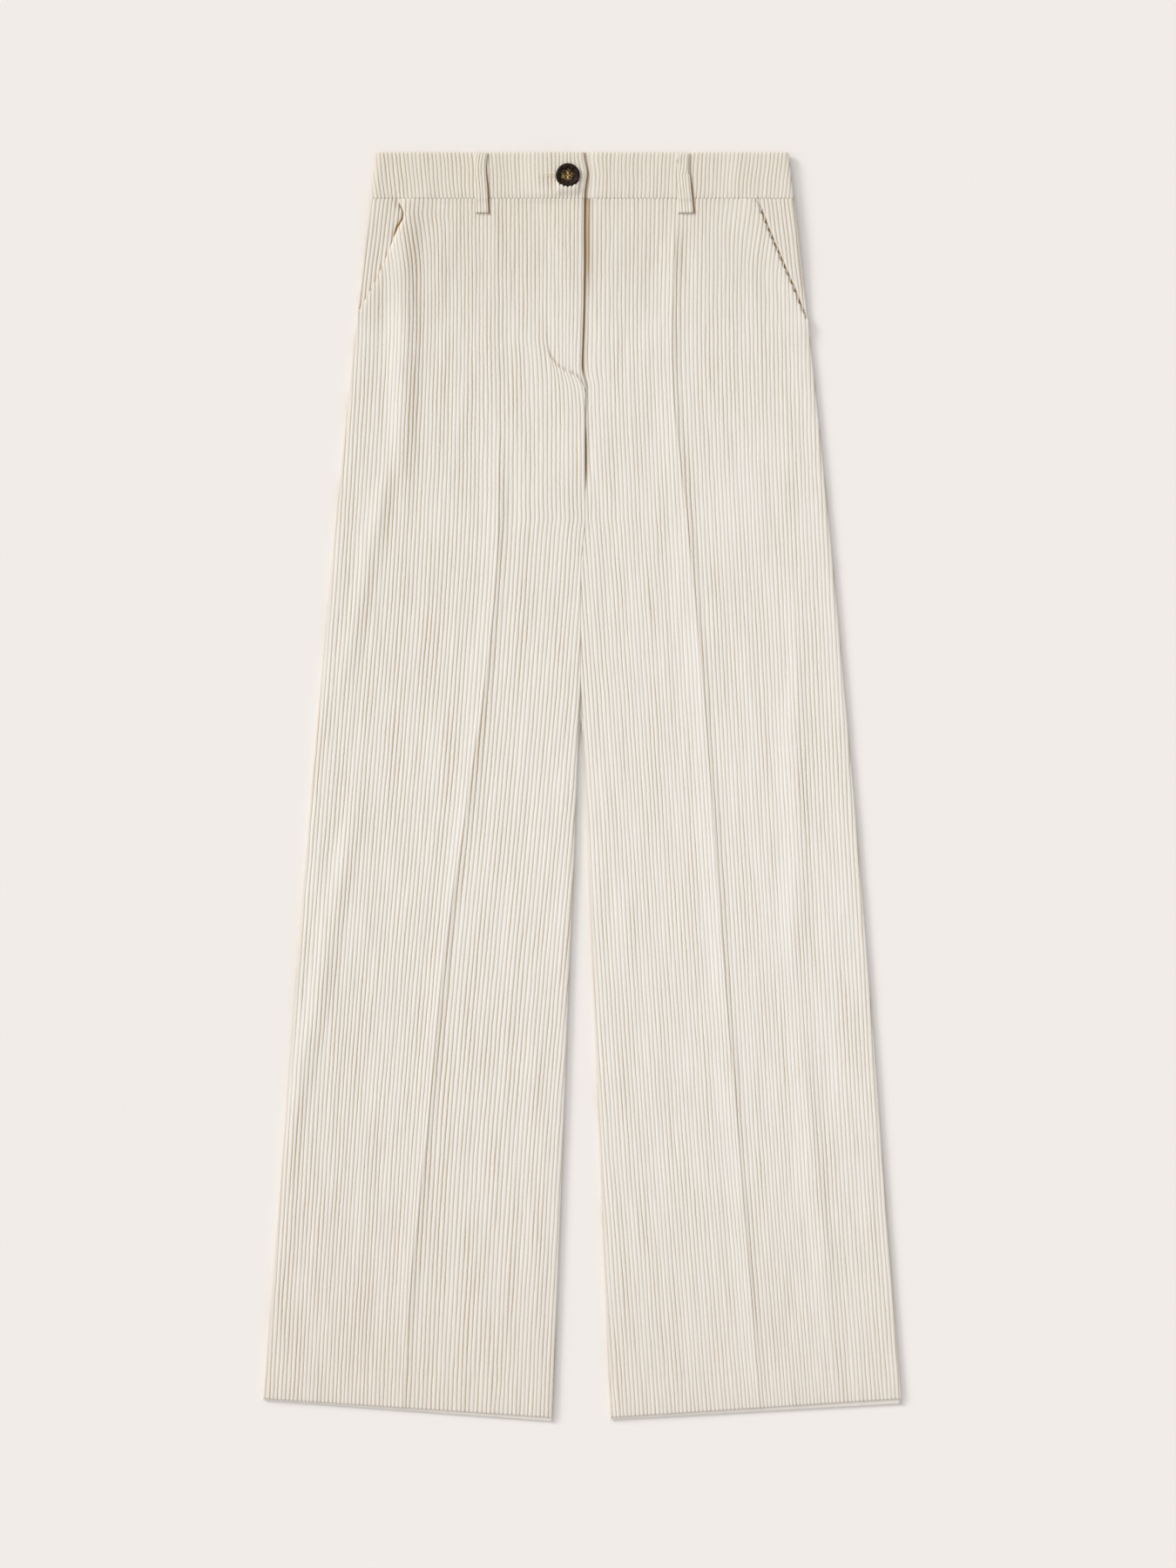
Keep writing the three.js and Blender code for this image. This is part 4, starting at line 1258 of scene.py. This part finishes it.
for place, middle in loop["back"].items():
    def backLoopFace(row, x, u, middle=middle):
        z = 0.25 * (1 - pileAt(u)) + 0.9 * turnDown(loop["width"] / 2 - abs(x - middle), 1.2)
        z += 0.9 * turnDown(row.d - 1, 1.5) + 0.9 * turnDown(loop["length"] - row.d, 1.5)
        return min(z, trousers["loopCloth"] - 0.3), 0, 0

    depths = [1, 1.3, 1.9, 2.8, 4.5] + depthsBetween(7, 49, 6) + [49, 51, 52, 52.6, loop["length"]]
    loopPiece = buildWall(
        f"loop_back_{place}", waleColumns(-3, 3, cloth["across"]), [legRow("right", d) for d in depths],
        lambda row, u, middle=middle: middle + u * cloth["walePitch"],
        lambda row, middle=middle: (middle - loop["width"] / 2, middle + loop["width"] / 2),
        backLoopFace, lambda row, x: trousers["loopCloth"], straightPlace, corduroy, corduroy)
    finishCloth(loopPiece, f"belt_loop_back_{place}", loop["width"], loop["length"] - 1, [])
print("belt loops made")


# Button: turned disc, drilled

def makeButton():
    bm = bmesh.new()
    t, r = button["thickness"], button["radius"]
    # from the middle of its underside round the rim to the middle of the dished face
    profile = [(0, 0), (r - 1.8, 0), (r - 0.9, 0.15), (r - 0.3, 0.7), (r, 1.5), (r - 0.05, 2.3),
               (r - 0.4, 2.9), (r - 1.0, t - 0.12), (r - 1.8, t), (r - 2.6, t - 0.12), (r - 3.4, t - 0.5),
               (r - 4.4, t - 0.95), (r - 5.6, t - 1.15), (0, t - 1.2)]
    points = [bm.verts.new((x * mm, 0, z * mm)) for x, z in profile]
    edges = [bm.edges.new(pair) for pair in zip(points, points[1:])]
    bmesh.ops.spin(bm, geom=points + edges, cent=(0, 0, 0), axis=(0, 0, 1), angle=2 * pi, steps=72,
                   use_merge=True)
    bmesh.ops.remove_doubles(bm, verts=bm.verts, dist=0.01 * mm)
    bmesh.ops.recalc_face_normals(bm, faces=bm.faces)
    for f in bm.faces:
        f.smooth = True
    disc = addPiece("button_disc", bm, [horn])

    drill = bmesh.new()
    for k in range(4):
        a = radians(button["turned"] + 45 + 90 * k)
        reach = button["holeSpread"] * sqrt(2)
        at = Matrix.Translation((reach * cos(a) * mm, reach * sin(a) * mm, t / 2 * mm))
        bmesh.ops.create_cone(drill, cap_ends=True, segments=20, radius1=button["holeRadius"] * mm,
                              radius2=button["holeRadius"] * mm, depth=3 * t * mm, matrix=at)
    drills = addPiece("drills", drill, [])
    cut = disc.modifiers.new("holes", "BOOLEAN")
    cut.object = drills
    cut.operation = "DIFFERENCE"
    cut.solver = "EXACT"
    evaluated = disc.evaluated_get(bpy.context.evaluated_depsgraph_get())
    mesh = bpy.data.meshes.new_from_object(evaluated)
    disc.modifiers.clear()
    disc.data = mesh
    bpy.data.objects.remove(drills)
    mesh.transform(buttonLies())
    return disc


def buttonLies():
    spot = Vector((button["x"], trousers["length"] / 2 - button["d"], button["bottom"])) * mm
    return Matrix.Translation(spot) @ Matrix.Rotation(radians(button["tilt"]), 4, "X")


disc = makeButton()
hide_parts("button")
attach(disc, "root")
print("button made", len(disc.data.polygons))


# Thread

def addStitch(bm, a, b, width, squash=0.7):
    # one stitch: a small ball drawn out from a to b, both in millimetres
    a, b = Vector(a) * mm, Vector(b) * mm
    run = b - a
    turn = run.to_track_quat("X", "Z").to_matrix().to_4x4()
    size = Matrix.Diagonal((run.length / 2 + 0.1 * mm, width / 2 * mm, width / 2 * squash * mm, 1))
    bmesh.ops.create_icosphere(bm, subdivisions=1, radius=1,
                               matrix=Matrix.Translation((a + b) / 2) @ turn @ size)


def stitchLine(bm, line, pitch, length, width, heightAt):
    # even stitches along a line of (x, d)
    spots, left = [], 0
    for (x0, d0), (x1, d1) in zip(line, line[1:]):
        run = hypot(x1 - x0, d1 - d0)
        while left + length < run:
            spots.append([(mix(x0, x1, q / run), mix(d0, d1, q / run)) for q in (left, left + length)])
            left += pitch
        left = max(0, left - run)
    for (xa, da), (xb, db) in spots:
        addStitch(bm, (xa, trousers["length"] / 2 - da, heightAt(xa, da)),
                  (xb, trousers["length"] / 2 - db, heightAt(xb, db)), width)


def onFlyStitching(x, d):
    # the thread sinks into the right front, deeper along the curve
    row = legRow("right", d)
    return frontInside(row, x) + row.wall - 0.4 - 0.3 * smooth(150, 175, d)


def addSewing(name, bm):
    for f in bm.faces:
        f.smooth = True
    piece = addPiece(name, bm, [thread])
    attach(piece, "root")
    return piece


sewing = bmesh.new()
stitchLine(sewing, fly["line"], fly["stitch"] + fly["stitchGap"], fly["stitch"], fly["threadWidth"],
           onFlyStitching)
addSewing("fly_stitching", sewing)

# the button is sewn on with two bars of thread, each three strands
sewnOn = {"strandGap": 0.36, "reach": 0.7, "threadWidth": 0.5, "below": 1.0}

# the buttonhole's outer end, worked in close upright stitches
hole = {"from": -38, "to": -22.5, "d": 20.2, "half": 0.9, "stitch": 1.5, "pitch": 0.75, "threadWidth": 0.5}


def sewButton():
    bm = bmesh.new()
    lies = buttonLies() @ Matrix.Rotation(radians(button["turned"]), 4, "Z")
    top = button["thickness"] - sewnOn["below"]
    for bar in (-1, 1):
        for strand in (-1, 0, 1):
            y = bar * button["holeSpread"] + strand * sewnOn["strandGap"]
            ends = [lies @ (Vector((end * sewnOn["reach"], y, top)) * mm) / mm for end in (-1, 1)]
            addStitch(bm, *ends, sewnOn["threadWidth"])
    return bm


def workButtonhole():
    bm = bmesh.new()
    x = hole["from"]
    while x < hole["to"]:
        z = bandInside("right", x) + band["wall"] + 0.1
        for d in (hole["d"] - hole["half"], hole["d"] + hole["half"]):
            y = trousers["length"] / 2 - d
            addStitch(bm, (x, y - hole["stitch"] / 2, z), (x, y + hole["stitch"] / 2, z), hole["threadWidth"])
        x += hole["pitch"]
    return bm


addSewing("button_thread", sewButton())
addSewing("buttonhole_stitching", workButtonhole())
print("stitches made")


# Floor and light

lamp = {
    "fill": 0.57, "azimuth": 146,
    "low": {"strength": 1.52, "elevation": 27, "angle": 20},      # a window
    "high": {"strength": 1.02, "elevation": 58, "angle": 80},     # a big white panel above it
}

floorMesh = bmesh.new()
bmesh.ops.create_grid(floorMesh, x_segments=2, y_segments=2, size=30)
floorPiece = addPiece("floor", floorMesh, [makePaper()])
floorPiece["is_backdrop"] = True

for name in ("low", "high"):
    light = lamp[name]
    sun = bpy.data.lights.new(f"light {name}", "SUN")
    sun.energy = light["strength"]
    sun.angle = radians(light["angle"])
    sun.color = (1, 0.985, 0.96)
    sunObject = bpy.data.objects.new(f"light {name}", sun)
    e, a = radians(light["elevation"]), radians(lamp["azimuth"])
    towards = Vector((cos(a) * cos(e), sin(a) * cos(e), sin(e)))
    sunObject.rotation_euler = towards.to_track_quat("Z", "Y").to_euler()
    bpy.context.scene.collection.objects.link(sunObject)

world = bpy.data.worlds.new("Studio")
world.use_nodes = True
world.node_tree.nodes["Background"].inputs["Color"].default_value = (0.97, 0.985, 1, 1)
world.node_tree.nodes["Background"].inputs["Strength"].default_value = lamp["fill"]
bpy.context.scene.world = world
bpy.context.scene.view_settings.view_transform = "Standard"
print("stage set")

lowest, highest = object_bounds()
